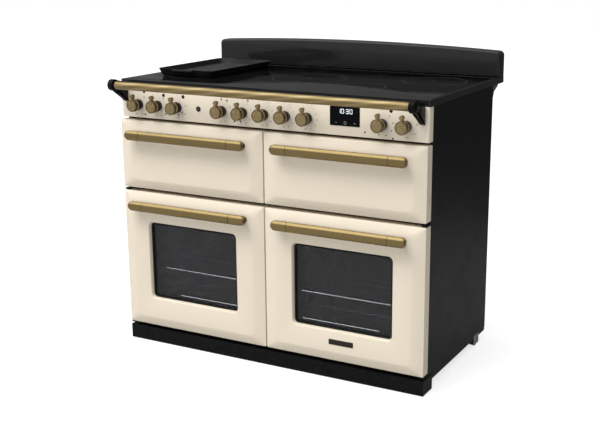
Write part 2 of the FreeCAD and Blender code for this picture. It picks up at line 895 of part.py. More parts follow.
def side_panels():
    """Folded sheets with a flange at the front and at the rear."""
    body = new_body("side_sheet")
    plan = new_sketch(body, "side_plan", "XY_Plane", P.base_height)
    inner = body_half - P.sheet
    lip = body_half - P.fork_length * half
    outline(plan, [
        (lip, frame_back_y),
        (body_half, frame_back_y),
        (body_half, panel_rear_y),
        (lip, panel_rear_y),
        (lip, panel_rear_y - P.sheet),
        (inner, panel_rear_y - P.sheet),
        (inner, frame_back_y + P.sheet),
        (lip, frame_back_y + P.sheet),
    ])
    grow(body, "Pad", plan, hob_under - P.base_height)
    node(group("side_pair", [body, mirror("side_mirror", body)]), "side_panels")


def front_frame():
    """The plate behind the doors, open at the four cavities."""
    body = new_body("frame_plate")
    plate = new_sketch(body, "frame_outline", "XZ_Plane", -frame_back_y)
    tall = hob_under - P.base_height
    rounded(plate, body_half * 2, tall, P.sheet, 0, P.base_height + tall * half)
    grow(body, "Pad", plate, P.frame_thickness)
    openings = new_sketch(body, "frame_openings", "XZ_Plane", -frame_back_y)
    for side in (-1, 1):
        for foot, high in ((oven_cavity_foot, oven_cavity_height),
                           (upper_cavity_foot, upper_cavity_height)):
            rounded(openings, cavity_width, high, P.cavity_corner, door_centre * side, foot + high * half)
    grow(body, "Pocket", openings, P.frame_thickness, True)
    node(body, "front_frame")


def plinth():
    """A folded kick plate: front, two side returns and a top flange that meets the front frame."""
    front = front_y + P.plinth_setback
    size = (plinth_half * 2, P.plinth_return, P.plinth_height)
    whole = block("plinth_whole", size, (-plinth_half, front, P.plinth_clearance))
    inside = block(
        "plinth_inside",
        (plinth_half * 2 - P.sheet * 2, P.plinth_return, P.plinth_height - P.sheet + P.overrun),
        (P.sheet - plinth_half, front + P.sheet, P.plinth_clearance - P.overrun))
    behind = block(
        "plinth_behind",
        (plinth_half * 2 - P.sheet * 2, P.plinth_return, P.sheet + P.overrun),
        (P.sheet - plinth_half, frame_y, plinth_top - P.sheet))
    node(cut("plinth_cut", whole, [inside, behind]), "plinth")


def base_tray():
    """An upturned tray under the body, holed for the feet and notched for the roller forks."""
    half_width = body_half - P.base_inset
    span = panel_rear_y - frame_y
    top = P.base_height
    whole = block("tray_whole", (half_width * 2, span, P.base_flange), (-half_width, frame_y, top - P.base_flange))
    inside = block(
        "tray_inside",
        (half_width * 2 - P.sheet * 2, span - P.sheet * 2, P.base_flange),
        (P.sheet - half_width, frame_y + P.sheet, top - P.base_flange - P.sheet))
    tools = [inside]
    for side in (-1, 1):
        start = (half_width - P.foot_inset) * side
        hole = rod("tray_hole_%d" % (side + 1), P.stud_radius + P.seat_gap, P.base_flange * 2,
                   (start, frame_y + P.foot_back, top - P.base_flange))
        notch_x = half_width - P.overrun if side > 0 else -half_width - P.overrun
        notch = block("tray_notch_%d" % (side + 1),
                      (P.overrun * 2, P.fork_length + P.seat_gap * 2, P.base_flange),
                      (notch_x, roller_y - P.fork_length * half - P.seat_gap, top - P.base_flange - P.sheet))
        tools += [hole, notch]
    node(cut("tray_cut", whole, tools), "base_tray")


def front_feet():
    body = new_body("foot")
    shape = new_sketch(body, "foot_shape", "XZ_Plane")
    top = P.base_height
    under = top - P.sheet
    outline(shape, [
        (0, 0),
        (P.foot_radius, 0),
        (P.foot_radius, P.foot_disc * half),
        (P.stud_radius * 2, P.foot_disc),
        (P.stud_radius, P.foot_disc),
        (P.stud_radius, under - P.foot_disc * half),
        (P.foot_collar, under - P.foot_disc * half),
        (P.foot_collar, under),
        (P.stud_radius, under),
        (P.stud_radius, top + P.foot_disc * half),
        (0, top + P.foot_disc * half),
    ])
    spin(body, "Revolution", shape, "V_Axis")
    place(body, body_half - P.base_inset - P.foot_inset, frame_y + P.foot_back, 0)
    node(group("foot_pair", [body, mirror("foot_mirror", body)]), "front_feet")


def rollers():
    """A fork with its pin under the tray at each rear corner, and the roller on the pin."""
    outer_x = body_half - P.base_inset
    width = P.roller_width + P.fork_gap * 2 + P.fork_wall * 2
    under = P.base_height - P.sheet
    start_y = roller_y - P.fork_length * half
    whole = block("fork_whole", (width, P.fork_length, under - P.fork_foot), (outer_x - width, start_y, P.fork_foot))
    inside = block(
        "fork_inside",
        (width - P.fork_wall * 2, P.fork_length + P.overrun * 2, under - P.fork_wall),
        (outer_x - width + P.fork_wall, start_y - P.overrun, 0))
    fork = cut("fork_bent", whole, [inside])
    pin = rod("fork_pin", P.roller_pin_radius, width, (outer_x - width, roller_y, P.roller_radius), ALONG_X)
    piece = fuse("fork", [fork, pin])
    node(group("fork_pair", [piece, mirror("fork_mirror", piece)]), "roller_brackets")
    tyre_x = outer_x - width + P.fork_wall + P.fork_gap
    wheel = rod("roller_wheel", P.roller_radius, P.roller_width, (tyre_x, roller_y, P.roller_radius), ALONG_X)
    bore = rod("roller_bore", P.roller_pin_radius + P.running_clearance, P.roller_width + P.overrun * 2,
               (tyre_x - P.overrun, roller_y, P.roller_radius), ALONG_X)
    right = node(cut("roller", wheel, [bore]), "right_roller")
    node(mirror("roller_mirror", right), "left_roller")


def back_panel():
    """The rear sheet with vent slots and a terminal box, and the curved duct under the hob."""
    body = new_body("back_sheet")
    sheet = new_sketch(body, "back_outline", "XZ_Plane", -(panel_rear_y + P.sheet))
    back_foot = P.base_height + P.back_rise
    back_head = hob_under - P.back_drop
    tall = back_head - back_foot
    rounded(sheet, (body_half - P.back_side) * 2, tall, P.sheet, 0, back_foot + tall * half)
    grow(body, "Pad", sheet, P.sheet)
    slots = new_sketch(body, "back_slots", "XZ_Plane", -panel_rear_y)
    for side in (-1, 1):
        column = (body_half - P.slot_side) * side
        slot_foot = back_head - P.slot_drop
        rounded(slots, P.slot_width, P.slot_height, P.slot_height * slot_round_share, column, slot_foot)
    vents = grow(body, "Pocket", slots, P.sheet)
    array = body.newObject("PartDesign::LinearPattern", "back_vents")
    array.Originals = [vents]
    array.Direction = (slots, ["V_Axis"])
    bind(array, Length=P.slot_pitch * (SLOT_COUNT - 1))
    array.Occurrences = SLOT_COUNT
    body.Tip = array
    place(body, 0, 0, 0)
    middle = P.terminal_side + P.back_side - body_half
    terminal_foot = back_foot + P.terminal_rise
    corner = (middle - P.terminal_width * half, panel_rear_y + P.sheet, terminal_foot)
    box = block("terminal_box", (P.terminal_width, P.terminal_depth, P.terminal_height), corner)
    gland = rod("terminal_gland", P.gland_radius, P.terminal_depth,
                (middle, panel_rear_y + P.sheet + P.terminal_depth * half, terminal_foot - P.overrun))
    shell = cut("terminal_shell", box, [gland])
    node(group("back_pieces", [body, shell, duct()]), "back_panel")


def duct_profile(sketch, grow_by):
    """A quarter-round cove from the hob's underside down to the back panel."""
    wall_y = panel_rear_y + P.sheet
    low = hob_under - P.duct_height + grow_by
    high = hob_under
    out_y = wall_y + P.duct_reach - grow_by
    lip = high - P.duct_lip
    foot_y = wall_y + P.duct_lip - grow_by
    outline(sketch, [
        (wall_y, low),
        (foot_y, low),
        (foot_y + P.duct_lip * half, low + (lip - low) * duct_low_share),
        (foot_y + P.duct_lip * 2, low + (lip - low) * duct_high_share),
        (out_y, lip),
        (out_y, high),
        (wall_y, high),
    ])


def duct():
    body = new_body("duct")
    side = body_half - P.duct_side
    outer = new_sketch(body, "duct_outer", "YZ_Plane", -side)
    duct_profile(outer, length(0))
    grow(body, "Pad", outer, side * 2)
    inner = new_sketch(body, "duct_inner", "YZ_Plane", P.sheet - side)
    duct_profile(inner, P.sheet)
    grow(body, "Pocket", inner, (side - P.sheet) * 2, True)
    return body


# Hob

def hob():
    """The trim frame with a recess for the glass and vents along the rear strip."""
    body = new_body("hob_body")
    plan = new_sketch(body, "hob_plan", "XY_Plane", hob_under)
    middle_y = (hob_front_y + rear_y) * half
    rounded(plan, P.hob_width, P.hob_depth, P.hob_corner, 0, middle_y)
    slab = grow(body, "Pad", plan, P.hob_edge)
    top = P.hob_height.value
    near = P.seat_gap.value
    soften(body, "Chamfer", slab, P.trim_chamfer, lambda middle, along: abs(middle.z - top) < near)
    recess = new_sketch(body, "hob_recess", "XY_Plane", P.hob_height)
    rounded(recess, glass_width, glass_depth, P.hob_corner, 0, glass_y)
    grow(body, "Pocket", recess, P.glass_sheet)
    opening = new_sketch(body, "hob_opening", "XY_Plane", P.hob_height)
    ledge = P.glass_ledge * 2
    rounded(opening, glass_width - ledge, glass_depth - ledge, P.hob_corner, 0, glass_y)
    grow(body, "Pocket", opening, P.hob_edge)
    node(body, "hob_frame")
    glass = new_body("hob_sheet")
    sheet = new_sketch(glass, "hob_glass_plan", "XY_Plane", P.hob_height - P.glass_sheet)
    clear = P.seat_gap * 2
    rounded(sheet, glass_width - clear, glass_depth - clear, P.hob_corner - P.seat_gap, 0, glass_y)
    grow(glass, "Pad", sheet, P.glass_sheet)
    node(glass, "hob_glass")
    coils()


# Middle of each heating zone in shares of half the glass's width and depth, the large zones first:
# centre, right rear, right front, left rear, left front
ZONE_SHARES = ((0, 0), (0.732, 0.45), (0.439, -0.486), (-0.735, 0.45), (-0.735, -0.4))
LARGE_ZONES = 2


def coils():
    """Five flat windings on a tray under the glass, and the power modules below the tray."""
    tray_y = frame_back_y + P.sheet + P.seat_gap
    deep = panel_rear_y - P.sheet - P.seat_gap - tray_y
    wide = body_half - P.sheet - P.seat_gap
    tray = block("tray_plate", (wide * 2, deep, P.sheet), (-wide, tray_y, hob_under - P.sheet))
    tall = P.hob_edge - P.glass_sheet - P.coil_gap
    rings = []
    for number, (across_share, along_share) in enumerate(ZONE_SHARES):
        x = glass_width * half * across_share
        y = glass_y + glass_depth * half * along_share
        radius = P.coil_large if number < LARGE_ZONES else P.coil_small
        disc = rod("coil_disc_%d" % number, radius, tall, (x, y, hob_under))
        bore = rod("coil_bore_%d" % number, P.coil_bore, tall + P.overrun, (x, y, hob_under))
        rings.append(cut("coil_%d" % number, disc, [bore]))
    node(group("coil_set", rings), "induction_coils")
    modules = []
    for side in (-1, 1):
        column = (hob_half - P.module_side) * side
        corner = (column - P.module_width * half, glass_y - P.module_depth * half,
                  hob_under - P.sheet - P.module_height)
        modules.append(block("module_%d" % (side + 1), (P.module_width, P.module_depth, P.module_height), corner))
    node(group("tray_set", [tray] + modules), "coil_tray")


def guard_outline(sketch, inset):
    """A long plate whose upper edge is a shallow arc, drawn in from the guard's faces by inset."""
    side = hob_half - inset
    low = P.hob_height
    high = low + P.guard_height - inset
    crown = P.guard_crown
    radius = (side * side + crown * crown) / (crown * 2)
    corners = [(-side, high), (-side, low), (side, low), (side, high)]
    first = sketch.GeometryCount
    sketch.addGeometry([Part.LineSegment(flat(corners[i]), flat(corners[i + 1])) for i in range(3)])
    spread = math.asin(side.value / radius.value)
    centre = (0, high + crown - radius)
    whole = Part.Circle(flat(centre), Vector(0, 0, 1), radius.value)
    upright = math.pi * half
    arc = sketch.addGeometry(Part.ArcOfCircle(whole, upright - spread, upright + spread))
    for start in range(first, arc):
        sketch.addConstraint(Sketcher.Constraint("Coincident", start, 2, start + 1, 1))
    sketch.addConstraint(Sketcher.Constraint("Coincident", arc, 2, first, 1))
    for number, point in enumerate(corners[:3]):
        fix_point(sketch, first + number, 1, point)
    fix_point(sketch, arc, 1, corners[3])
    rule = sketch.addConstraint(Sketcher.Constraint("Radius", arc, radius.value))
    sketch.setExpression("Constraints[%d]" % rule, radius.text)


def backguard():
    """A hollow upstand with a bowed top, round upper corners and vents along its foot."""
    body = new_body("guard")
    plate = new_sketch(body, "guard_outline", "XZ_Plane", -rear_y)
    low = P.hob_height
    guard_outline(plate, length(0))
    whole = grow(body, "Pad", plate, P.guard_depth)
    high = (low + P.guard_height).value
    near = P.seat_gap.value
    corners = soften(body, "Fillet", whole, P.guard_corner, lambda middle, along: (
        abs(middle.z - high) < near and abs(along.y) > half))
    front = (rear_y - P.guard_depth).value
    soften(body, "Fillet", corners, P.guard_round, lambda middle, along: (
        abs(middle.y - front) < near and middle.z > low.value + near))
    hollow = new_sketch(body, "guard_hollow", "XZ_Plane", -rear_y)
    guard_outline(hollow, P.guard_wall)
    grow(body, "Pocket", hollow, P.guard_depth - P.guard_round - P.guard_wall, True)
    vent = new_sketch(body, "guard_vent", "XZ_Plane", P.guard_depth - rear_y)
    start = P.vent_margin + P.vent_width * half - hob_half
    middle_z = low + P.vent_foot + P.vent_height * half
    rounded(vent, P.vent_width, P.vent_height, P.vent_height * slot_round_share, start, middle_z)
    slot = grow(body, "Pocket", vent, P.guard_round + P.guard_wall + P.sheet)
    array = body.newObject("PartDesign::LinearPattern", "guard_vents")
    array.Originals = [slot]
    array.Direction = (vent, ["H_Axis"])
    bind(array, Length=-start * 2)
    array.Occurrences = VENT_COUNT
    body.Tip = array
    node(body, "backguard")


def griddle():
    """A cast tray with flared sides and an ear at each end, resting on the glass."""
    body = new_body("griddle_body")
    width = P.griddle_width
    span = glass_depth - P.griddle_near - P.griddle_far
    flare = P.griddle_flare * 2
    foot = new_sketch(body, "griddle_foot", "XY_Plane")
    rounded(foot, width - flare, span - flare, P.griddle_corner - P.griddle_flare * half, 0, 0)
    rim = new_sketch(body, "griddle_rim", "XY_Plane", P.griddle_height)
    rounded(rim, width, span, P.griddle_corner, 0, 0)
    loft(body, "AdditiveLoft", [foot, rim])
    ears = new_sketch(body, "griddle_ears", "XY_Plane", P.griddle_height)
    reach = span * half + P.griddle_ear_reach
    ear = P.griddle_ear_width * half
    outline(ears, [(-ear, -reach), (ear, -reach), (ear, reach), (-ear, reach)])
    grow(body, "Pad", ears, P.griddle_ear, True)
    wall = P.griddle_wall * 2
    floor = new_sketch(body, "griddle_floor", "XY_Plane", P.griddle_base)
    inner_r = P.griddle_corner - P.griddle_wall
    rounded(floor, width - flare - wall, span - flare - wall, inner_r - P.griddle_flare * half,
            0, 0)
    mouth = new_sketch(body, "griddle_mouth", "XY_Plane", P.griddle_height)
    rounded(mouth, width - wall, span - wall, inner_r, 0, 0)
    loft(body, "SubtractiveLoft", [floor, mouth])
    left = P.griddle_side - P.glass_margin - hob_half
    place(body, left + P.glass_margin * 2, glass_y + (P.griddle_near - P.griddle_far) * half, P.hob_height)
    node(body, "griddle")


# Fascia and controls

def knob_places():
    """Middle of each knob along X, from the left, in shares of half the fascia's width."""
    pitch = front_half * P.knob_pitch_share
    left = [pitch * step - front_half * P.left_group_share for step in (-1, 0, 1)]
    middle = [pitch * step for step in (-2, -1, 0, 1, 2)]
    right = [pitch * share + front_half * P.right_group_share for share in (-half, half)]
    return left + middle + right


KNOBS = (
    "grill_knob",
    "left_oven_function_knob",
    "left_oven_heat_knob",
    "left_front_zone_knob",
    "left_rear_zone_knob",
    "centre_zone_knob",
    "right_rear_zone_knob",
    "right_front_zone_knob",
    "right_oven_function_knob",
    "right_oven_heat_knob",
)


def fascia():
    """A folded control panel with round upright corners, open at its top and rear."""
    body = new_body("fascia_body")
    plan = new_sketch(body, "fascia_plan", "XY_Plane", fascia_foot)
    side = front_half
    outline(plan, [(-side, fascia_y), (side, fascia_y), (side, frame_y), (-side, frame_y)])
    whole = grow(body, "Pad", plan, P.fascia_height)
    front = fascia_y.value
    near = P.seat_gap.value
    soften(body, "Fillet", whole, P.fascia_corner, lambda middle, along: (
        abs(middle.y - front) < near and abs(along.z) > half))
    hollow = new_sketch(body, "fascia_hollow", "XY_Plane", hob_under)
    inner = side - P.fascia_wall
    corner = P.fascia_corner - P.fascia_wall
    outline(hollow, [
        (-inner, fascia_back_y + corner),
        (corner - inner, fascia_back_y),
        (inner - corner, fascia_back_y),
        (inner, fascia_back_y + corner),
        (inner, frame_y + P.overrun),
        (-inner, frame_y + P.overrun),
    ])
    grow(body, "Pocket", hollow, P.fascia_height - P.fascia_wall)
    holes = new_sketch(body, "fascia_holes", "XZ_Plane", -fascia_y)
    for x in knob_places():
        circle(holes, (x, knob_height), P.bezel_bore)
    circle(holes, (lamp_x, lamp_z), P.lamp_neck + P.seat_gap)
    margin = P.display_case_margin * 2
    rounded(holes, P.display_width - margin + P.seat_gap * 2, P.display_height - margin + P.seat_gap * 2,
            P.sheet * half, display_x, display_z)
    grow(body, "Pocket", holes, P.fascia_corner)
    node(body, "fascia")


def controls():
    """Bezels in front of the fascia, switches behind it, and a knob with its shaft through both."""
    bezels = []
    switches = []
    for number, x in enumerate(knob_places()):
        front = fascia_y - P.bezel_length
        ring = rod("bezel_ring_%d" % number, P.bezel_radius, P.bezel_length, (x, front, knob_height), ALONG_Y)
        bore = rod("bezel_bore_%d" % number, P.bezel_bore, P.bezel_length + P.overrun * 2,
                   (x, front - P.overrun, knob_height), ALONG_Y)
        bezels.append(cut("bezel_%d" % number, ring, [bore]))
        case = rod("switch_case_%d" % number, P.switch_radius, P.switch_length,
                   (x, fascia_back_y, knob_height), ALONG_Y)
        hole = rod("switch_hole_%d" % number, P.shaft_radius + P.running_clearance,
                   P.shaft_depth + P.overrun, (x, fascia_back_y - P.overrun, knob_height), ALONG_Y)
        switches.append(cut("switch_%d" % number, case, [hole]))
        knob(KNOBS[number], x)
    node(group("bezel_set", bezels), "knob_bezels")
    node(group("switch_set", switches), "rotary_switches")


def knob(name, x):
    """A disc with a pointer lug at the top, on a shaft; Y = 0 is the fascia's face."""
    body = new_body(name + "_body")
    back = P.bezel_length + P.knob_gap
    face = back + P.knob_disc
    turned = new_sketch(body, name + "_turned", "XY_Plane")
    end = P.fascia_wall + P.shaft_depth - P.seat_gap
    outline(turned, [
        (0, end),
        (0, -face),
        (P.knob_radius - P.knob_edge, -face),
        (P.knob_radius, P.knob_edge - face),
        (P.knob_radius, -back),
        (P.shaft_radius, -back),
        (P.shaft_radius, end),
    ])
    spin(body, "Revolution", turned, "V_Axis")
    lug = new_sketch(body, name + "_lug", "XZ_Plane", face - P.knob_edge * half)
    rounded(lug, P.lug_width, P.lug_top, P.lug_width * bar_round_share, 0, P.lug_top * half)
    grow(body, "Pad", lug, P.knob_disc - P.knob_edge * half, True)
    tail = new_sketch(body, name + "_tail", "XZ_Plane", back)
    tail_low = P.bezel_radius + P.lug_clearance
    tail_side = P.lug_width * half
    outline(tail, [
        (-tail_side, tail_low),
        (tail_side, tail_low),
        (tail_side, P.lug_top - tail_side),
        (tail_side * lug_flat_share, P.lug_top),
        (-tail_side * lug_flat_share, P.lug_top),
        (-tail_side, P.lug_top - tail_side),
    ])
    grow(body, "Pad", tail, P.lug_depth - P.knob_disc, True)
    place(body, x, fascia_y, knob_height)
    node(body, name)


def display():
    """A glass front with the timer's case behind it."""
    body = new_body("timer_front")
    front = new_sketch(body, "timer_glass", "XZ_Plane", -fascia_y)
    rounded(front, P.display_width, P.display_height, P.badge_corner, display_x, display_z)
    grow(body, "Pad", front, P.display_proud)
    margin = P.display_case_margin * 2
    corner = (display_x - (P.display_width - margin) * half, fascia_y,
              display_z - (P.display_height - margin) * half)
    case = block("timer_case", (P.display_width - margin, P.display_case_depth, P.display_height - margin), corner)
    node(group("timer", [body, case]), "display_module")


def indicator():
    body = new_body("lamp_body")
    shape = new_sketch(body, "lamp_shape", "XY_Plane")
    outline(shape, [
        (0, P.lamp_depth),
        (0, -P.lamp_proud),
        (P.lamp_radius * half, -P.lamp_proud),
        (P.lamp_radius, -(P.lamp_proud * half)),
        (P.lamp_radius, 0),
        (P.lamp_neck, 0),
        (P.lamp_neck, P.lamp_depth),
    ])
    spin(body, "Revolution", shape, "V_Axis")
    place(body, lamp_x, fascia_y, lamp_z)
    node(body, "indicator_lamp")


def handrail():
    """A brass tube between two black brackets that stand on the fascia."""
    rail_y = fascia_y - P.rail_reach
    start = (-(rail_half), rail_y, rail_height)
    tube = rod("rail_tube", P.rail_radius, rail_half * 2, start, ALONG_X)
    bore = rod("rail_bore", P.rail_radius - P.rail_wall, rail_half * 2 + P.overrun * 2,
               (-(rail_half) - P.overrun, rail_y, rail_height), ALONG_X)
    node(cut("rail", tube, [bore]), "handrail")
    body = new_body("bracket")
    sleeve = new_sketch(body, "bracket_sleeve", "YZ_Plane", rail_half)
    circle(sleeve, (rail_y, rail_height), P.bracket_radius)
    grow(body, "Pad", sleeve, P.sleeve_length)
    foot_low = fascia_foot + P.bracket_foot_rise
    foot_high = hob_under - P.bracket_foot_drop
    arm = new_sketch(body, "bracket_arm", "YZ_Plane", rail_half + P.bracket_arm_inset)
    outline(arm, [
        (rail_y - P.bracket_radius * bracket_neck_share, rail_height - P.bracket_radius * bracket_side_share),
        (rail_y + P.bracket_radius, foot_high - P.bracket_radius),
        (fascia_y - P.bracket_foot_depth, foot_low),
        (fascia_y, foot_low),
        (fascia_y, foot_high),
        (fascia_y - P.bracket_foot_depth, rail_height),
        (rail_y, rail_height + P.bracket_radius * bracket_side_share),
    ])
    grow(body, "Pad", arm, P.bracket_arm_width)
    node(group("bracket_pair", [body, mirror("bracket_mirror", body)]), "rail_brackets")


# Ovens, grill and drawer housing

def cavity_liner(name, foot, high, deep, extra, holes):
    """An open-fronted box on the left side, with a flange that meets the front frame."""
    wall = P.sheet
    left = -door_centre - cavity_half
    outer = block(name + "_outer", (cavity_width + wall * 2, deep + wall, high + wall * 2),
                  (left - wall, frame_back_y, foot - wall))
    flange = block(
        name + "_flange",
        (cavity_width + P.liner_flange * 2, wall, high + P.liner_flange * 2),
        (left - P.liner_flange, frame_back_y, foot - P.liner_flange))
    inside = block(name + "_inside", (cavity_width, deep + P.overrun, high),
                   (left, frame_back_y - P.overrun, foot))
    shell = cut(name + "_shell", fuse(name + "_solid", [outer, flange]), [inside] + holes)
    return fuse(name + "_liner", [shell] + extra) if extra else shell


def oven_fan_axis():
    """Middle of the left oven's fan: X, front of the rear wall in Y, and Z."""
    return -door_centre, frame_back_y + oven_cavity_depth, oven_cavity_foot + oven_cavity_height * half


def ovens():
    fan_x, rear, fan_z = oven_fan_axis()
    shaft = P.fan_shaft_radius + P.seat_gap
    holes = [rod("oven_shaft_hole", shaft, P.overrun * 2, (fan_x, rear - P.overrun, fan_z), ALONG_Y)]
    for side in (-1, 1):
        lead = (fan_x + P.ring_tube * 2 * side, rear - P.overrun, fan_z - P.ring_radius)
        holes.append(rod("oven_lead_hole_%d" % (side + 1), P.ring_tube * half + P.seat_gap, P.overrun * 2,
                         lead, ALONG_Y))
    liner = cavity_liner("oven", oven_cavity_foot, oven_cavity_height, oven_cavity_depth, [], holes)
    node(liner, "left_oven_liner")
    node(mirror("right_oven", liner), "right_oven_liner")
    ladders()
    shelves()
    fan_set(fan_x, rear, fan_z)


def ladders():
    """Wire ladders on both walls of each oven; the shelves slide on their rungs."""
    pieces = []
    low = oven_cavity_foot + P.seat_gap
    tall = oven_cavity_height - P.seat_gap * 2
    ladder_back = oven_cavity_depth - P.ladder_rear
    for side in (-1, 1):
        x = -door_centre + (cavity_half - P.wire_radius - P.seat_gap) * side
        parts = []
        for number, depth in enumerate((P.ladder_front, ladder_back)):
            start = (x, frame_back_y + depth, low)
            parts.append(rod("ladder_post_%d_%d" % (side + 1, number), P.wire_radius, tall, start))
        rung_x = -door_centre + rung_reach * side
        for step in range(LADDER_COUNT):
            z = oven_cavity_foot + P.ladder_foot + P.ladder_pitch * step
            start = (rung_x, frame_back_y + P.ladder_front - P.wire_radius * 2, z)
            span = ladder_back - P.ladder_front + P.wire_radius * 4
            parts.append(rod("ladder_rung_%d_%d" % (side + 1, step), P.wire_radius, span, start, ALONG_Y))
        pieces.append(fuse("ladder_%d" % (side + 1), parts))
    pair = group("ladder_pair", pieces)
    node(group("ladder_set", [pair, mirror("ladder_mirror", pair)]), "shelf_ladders")


def shelves():
    """Wire shelves: a frame of thick wire crossed by thin wires from front to back."""
    pieces = []
    reach = rung_reach - P.wire_weld * 2
    front = frame_back_y + P.shelf_front
    shelf_length = oven_cavity_depth - P.cover_depth - P.shelf_front - P.shelf_rear
    for step in SHELF_STEPS:
        z = oven_cavity_foot + P.ladder_foot + P.ladder_pitch * step + P.wire_radius * 2 + P.seat_gap
        parts = []
        for side in (-1, 1):
            start = (-door_centre + reach * side, front - P.wire_radius, z)
            span = shelf_length + P.wire_radius * 2
            parts.append(rod("shelf_side_%d_%d" % (step, side + 1), P.wire_radius, span, start, ALONG_Y))
        for number, y in enumerate((front, front + shelf_length)):
            start = (-door_centre - reach, y, z)
            parts.append(rod("shelf_end_%d_%d" % (step, number), P.cross_wire_radius, reach * 2, start, ALONG_X))
        for number in range(SHELF_WIRES):
            share = (number + 1) / (SHELF_WIRES + 1)
            start = (-door_centre - reach + reach * 2 * share, front, z)
            parts.append(rod("shelf_wire_%d_%d" % (step, number), P.thin_wire_radius, shelf_length,
                             start, ALONG_Y))
        pieces.append(fuse("shelf_%d" % step, parts))
    pair = group("shelf_pair", pieces)
    node(group("shelf_set", [pair, mirror("shelf_mirror", pair)]), "oven_shelves")


def fan_set(fan_x, rear, fan_z):
    """Fan cover, ring element, fan and motor at the rear of each oven."""
    body = new_body("cover")
    front = rear - P.cover_depth
    cover_width = cavity_width - P.cover_side * 2
    cover_height = oven_cavity_height - P.cover_end * 2
    outer = new_sketch(body, "cover_outline", "XZ_Plane", -rear)
    rounded(outer, cover_width, cover_height, P.cavity_corner, fan_x, fan_z)
    grow(body, "Pad", outer, P.cover_depth)
    inner = new_sketch(body, "cover_hollow", "XZ_Plane", -rear)
    wall = P.sheet * 2
    rounded(inner, cover_width - wall, cover_height - wall, P.cavity_corner - P.sheet, fan_x, fan_z)
    grow(body, "Pocket", inner, P.cover_depth - P.sheet, True)
    eyes = new_sketch(body, "cover_intakes", "XZ_Plane", -front)
    circle(eyes, (fan_x, fan_z), P.intake_radius)
    for number in range(INTAKE_COUNT):
        turn = 2 * math.pi * number / INTAKE_COUNT
        x = fan_x + P.intake_ring * round(math.cos(turn), 6)
        z = fan_z + P.intake_ring * round(math.sin(turn), 6)
        circle(eyes, (x, z), P.intake_radius)
    for side in (-1, 1):
        x = fan_x + (cover_width * half - P.intake_ring) * side
        rounded(eyes, P.intake_radius, cover_height - P.intake_ring * 2, P.intake_radius * bar_round_share, x, fan_z)
    grow(body, "Pocket", eyes, P.cover_depth * half)
    node(group("cover_pair", [body, mirror("cover_mirror", body)]), "fan_covers")
    impeller(fan_x, rear, fan_z)
    motor = rod("motor_case", P.motor_radius, P.motor_length, (fan_x, rear + P.sheet, fan_z), ALONG_Y)
    bore = rod("motor_bore", P.fan_shaft_radius + P.running_clearance, P.fan_shaft_depth + P.overrun,
               (fan_x, rear + P.sheet - P.overrun, fan_z), ALONG_Y)
    piece = cut("motor", motor, [bore])
    node(group("motor_pair", [piece, mirror("motor_mirror", piece)]), "fan_motors")
    heating(fan_x, rear, fan_z)


def impeller(fan_x, rear, fan_z):
    """A disc with radial blades on a shaft that runs back into the motor."""
    body = new_body("fan_body")
    turned = new_sketch(body, "fan_turned", "XY_Plane")
    gap = P.fan_rear_gap
    outline(turned, [
        (0, P.sheet + P.fan_shaft_depth - P.seat_gap),
        (0, -(gap + P.blade_height)),
        (P.fan_hub, -(gap + P.blade_height)),
        (P.fan_hub, -(gap + P.fan_disc)),
        (P.fan_radius, -(gap + P.fan_disc)),
        (P.fan_radius, -gap),
        (P.fan_shaft_radius, -gap),
        (P.fan_shaft_radius, P.sheet + P.fan_shaft_depth - P.seat_gap),
    ])
    spin(body, "Revolution", turned, "V_Axis")
    blade = new_sketch(body, "fan_blade", "XZ_Plane", gap + P.fan_disc * half)
    thick = P.fan_disc * half
    outline(blade, [
        (P.blade_root, -thick),
        (P.fan_radius - P.fan_disc, -thick),
        (P.fan_radius - P.fan_disc, thick),
        (P.blade_root, thick),
    ])
    vane = grow(body, "Pad", blade, P.blade_height)
    ring = body.newObject("PartDesign::PolarPattern", "fan_blades")
    ring.Originals = [vane]
    ring.Axis = (blade, ["N_Axis"])
    ring.Angle = 360
    ring.Occurrences = BLADE_COUNT
    body.Tip = ring
    place(body, fan_x, rear, fan_z)
    left = node(body, "left_fan")
    node(mirror("fan_mirror", left), "right_fan")


def heating(fan_x, rear, fan_z):
    """A ring element round each fan, and the grill's serpentine under its roof."""
    ring = doc.addObject("Part::Torus", "ring_tube")
    bind(ring, Radius1=P.ring_radius, Radius2=P.ring_tube)
    ring_y = rear - P.cover_depth * half
    place(ring, fan_x, ring_y, fan_z, rotation=ALONG_Y)
    parts = [ring]
    for side in (-1, 1):
        start = (fan_x + P.ring_tube * 2 * side, ring_y, fan_z - P.ring_radius)
        span = P.cover_depth * half + P.sheet + P.ring_lead
        parts.append(rod("ring_lead_%d" % (side + 1), P.ring_tube * half, span, start, ALONG_Y))
    left = fuse("ring_element", parts)
    node(group("elements", [left, mirror("ring_mirror", left), grill_element()]), "heating_elements")


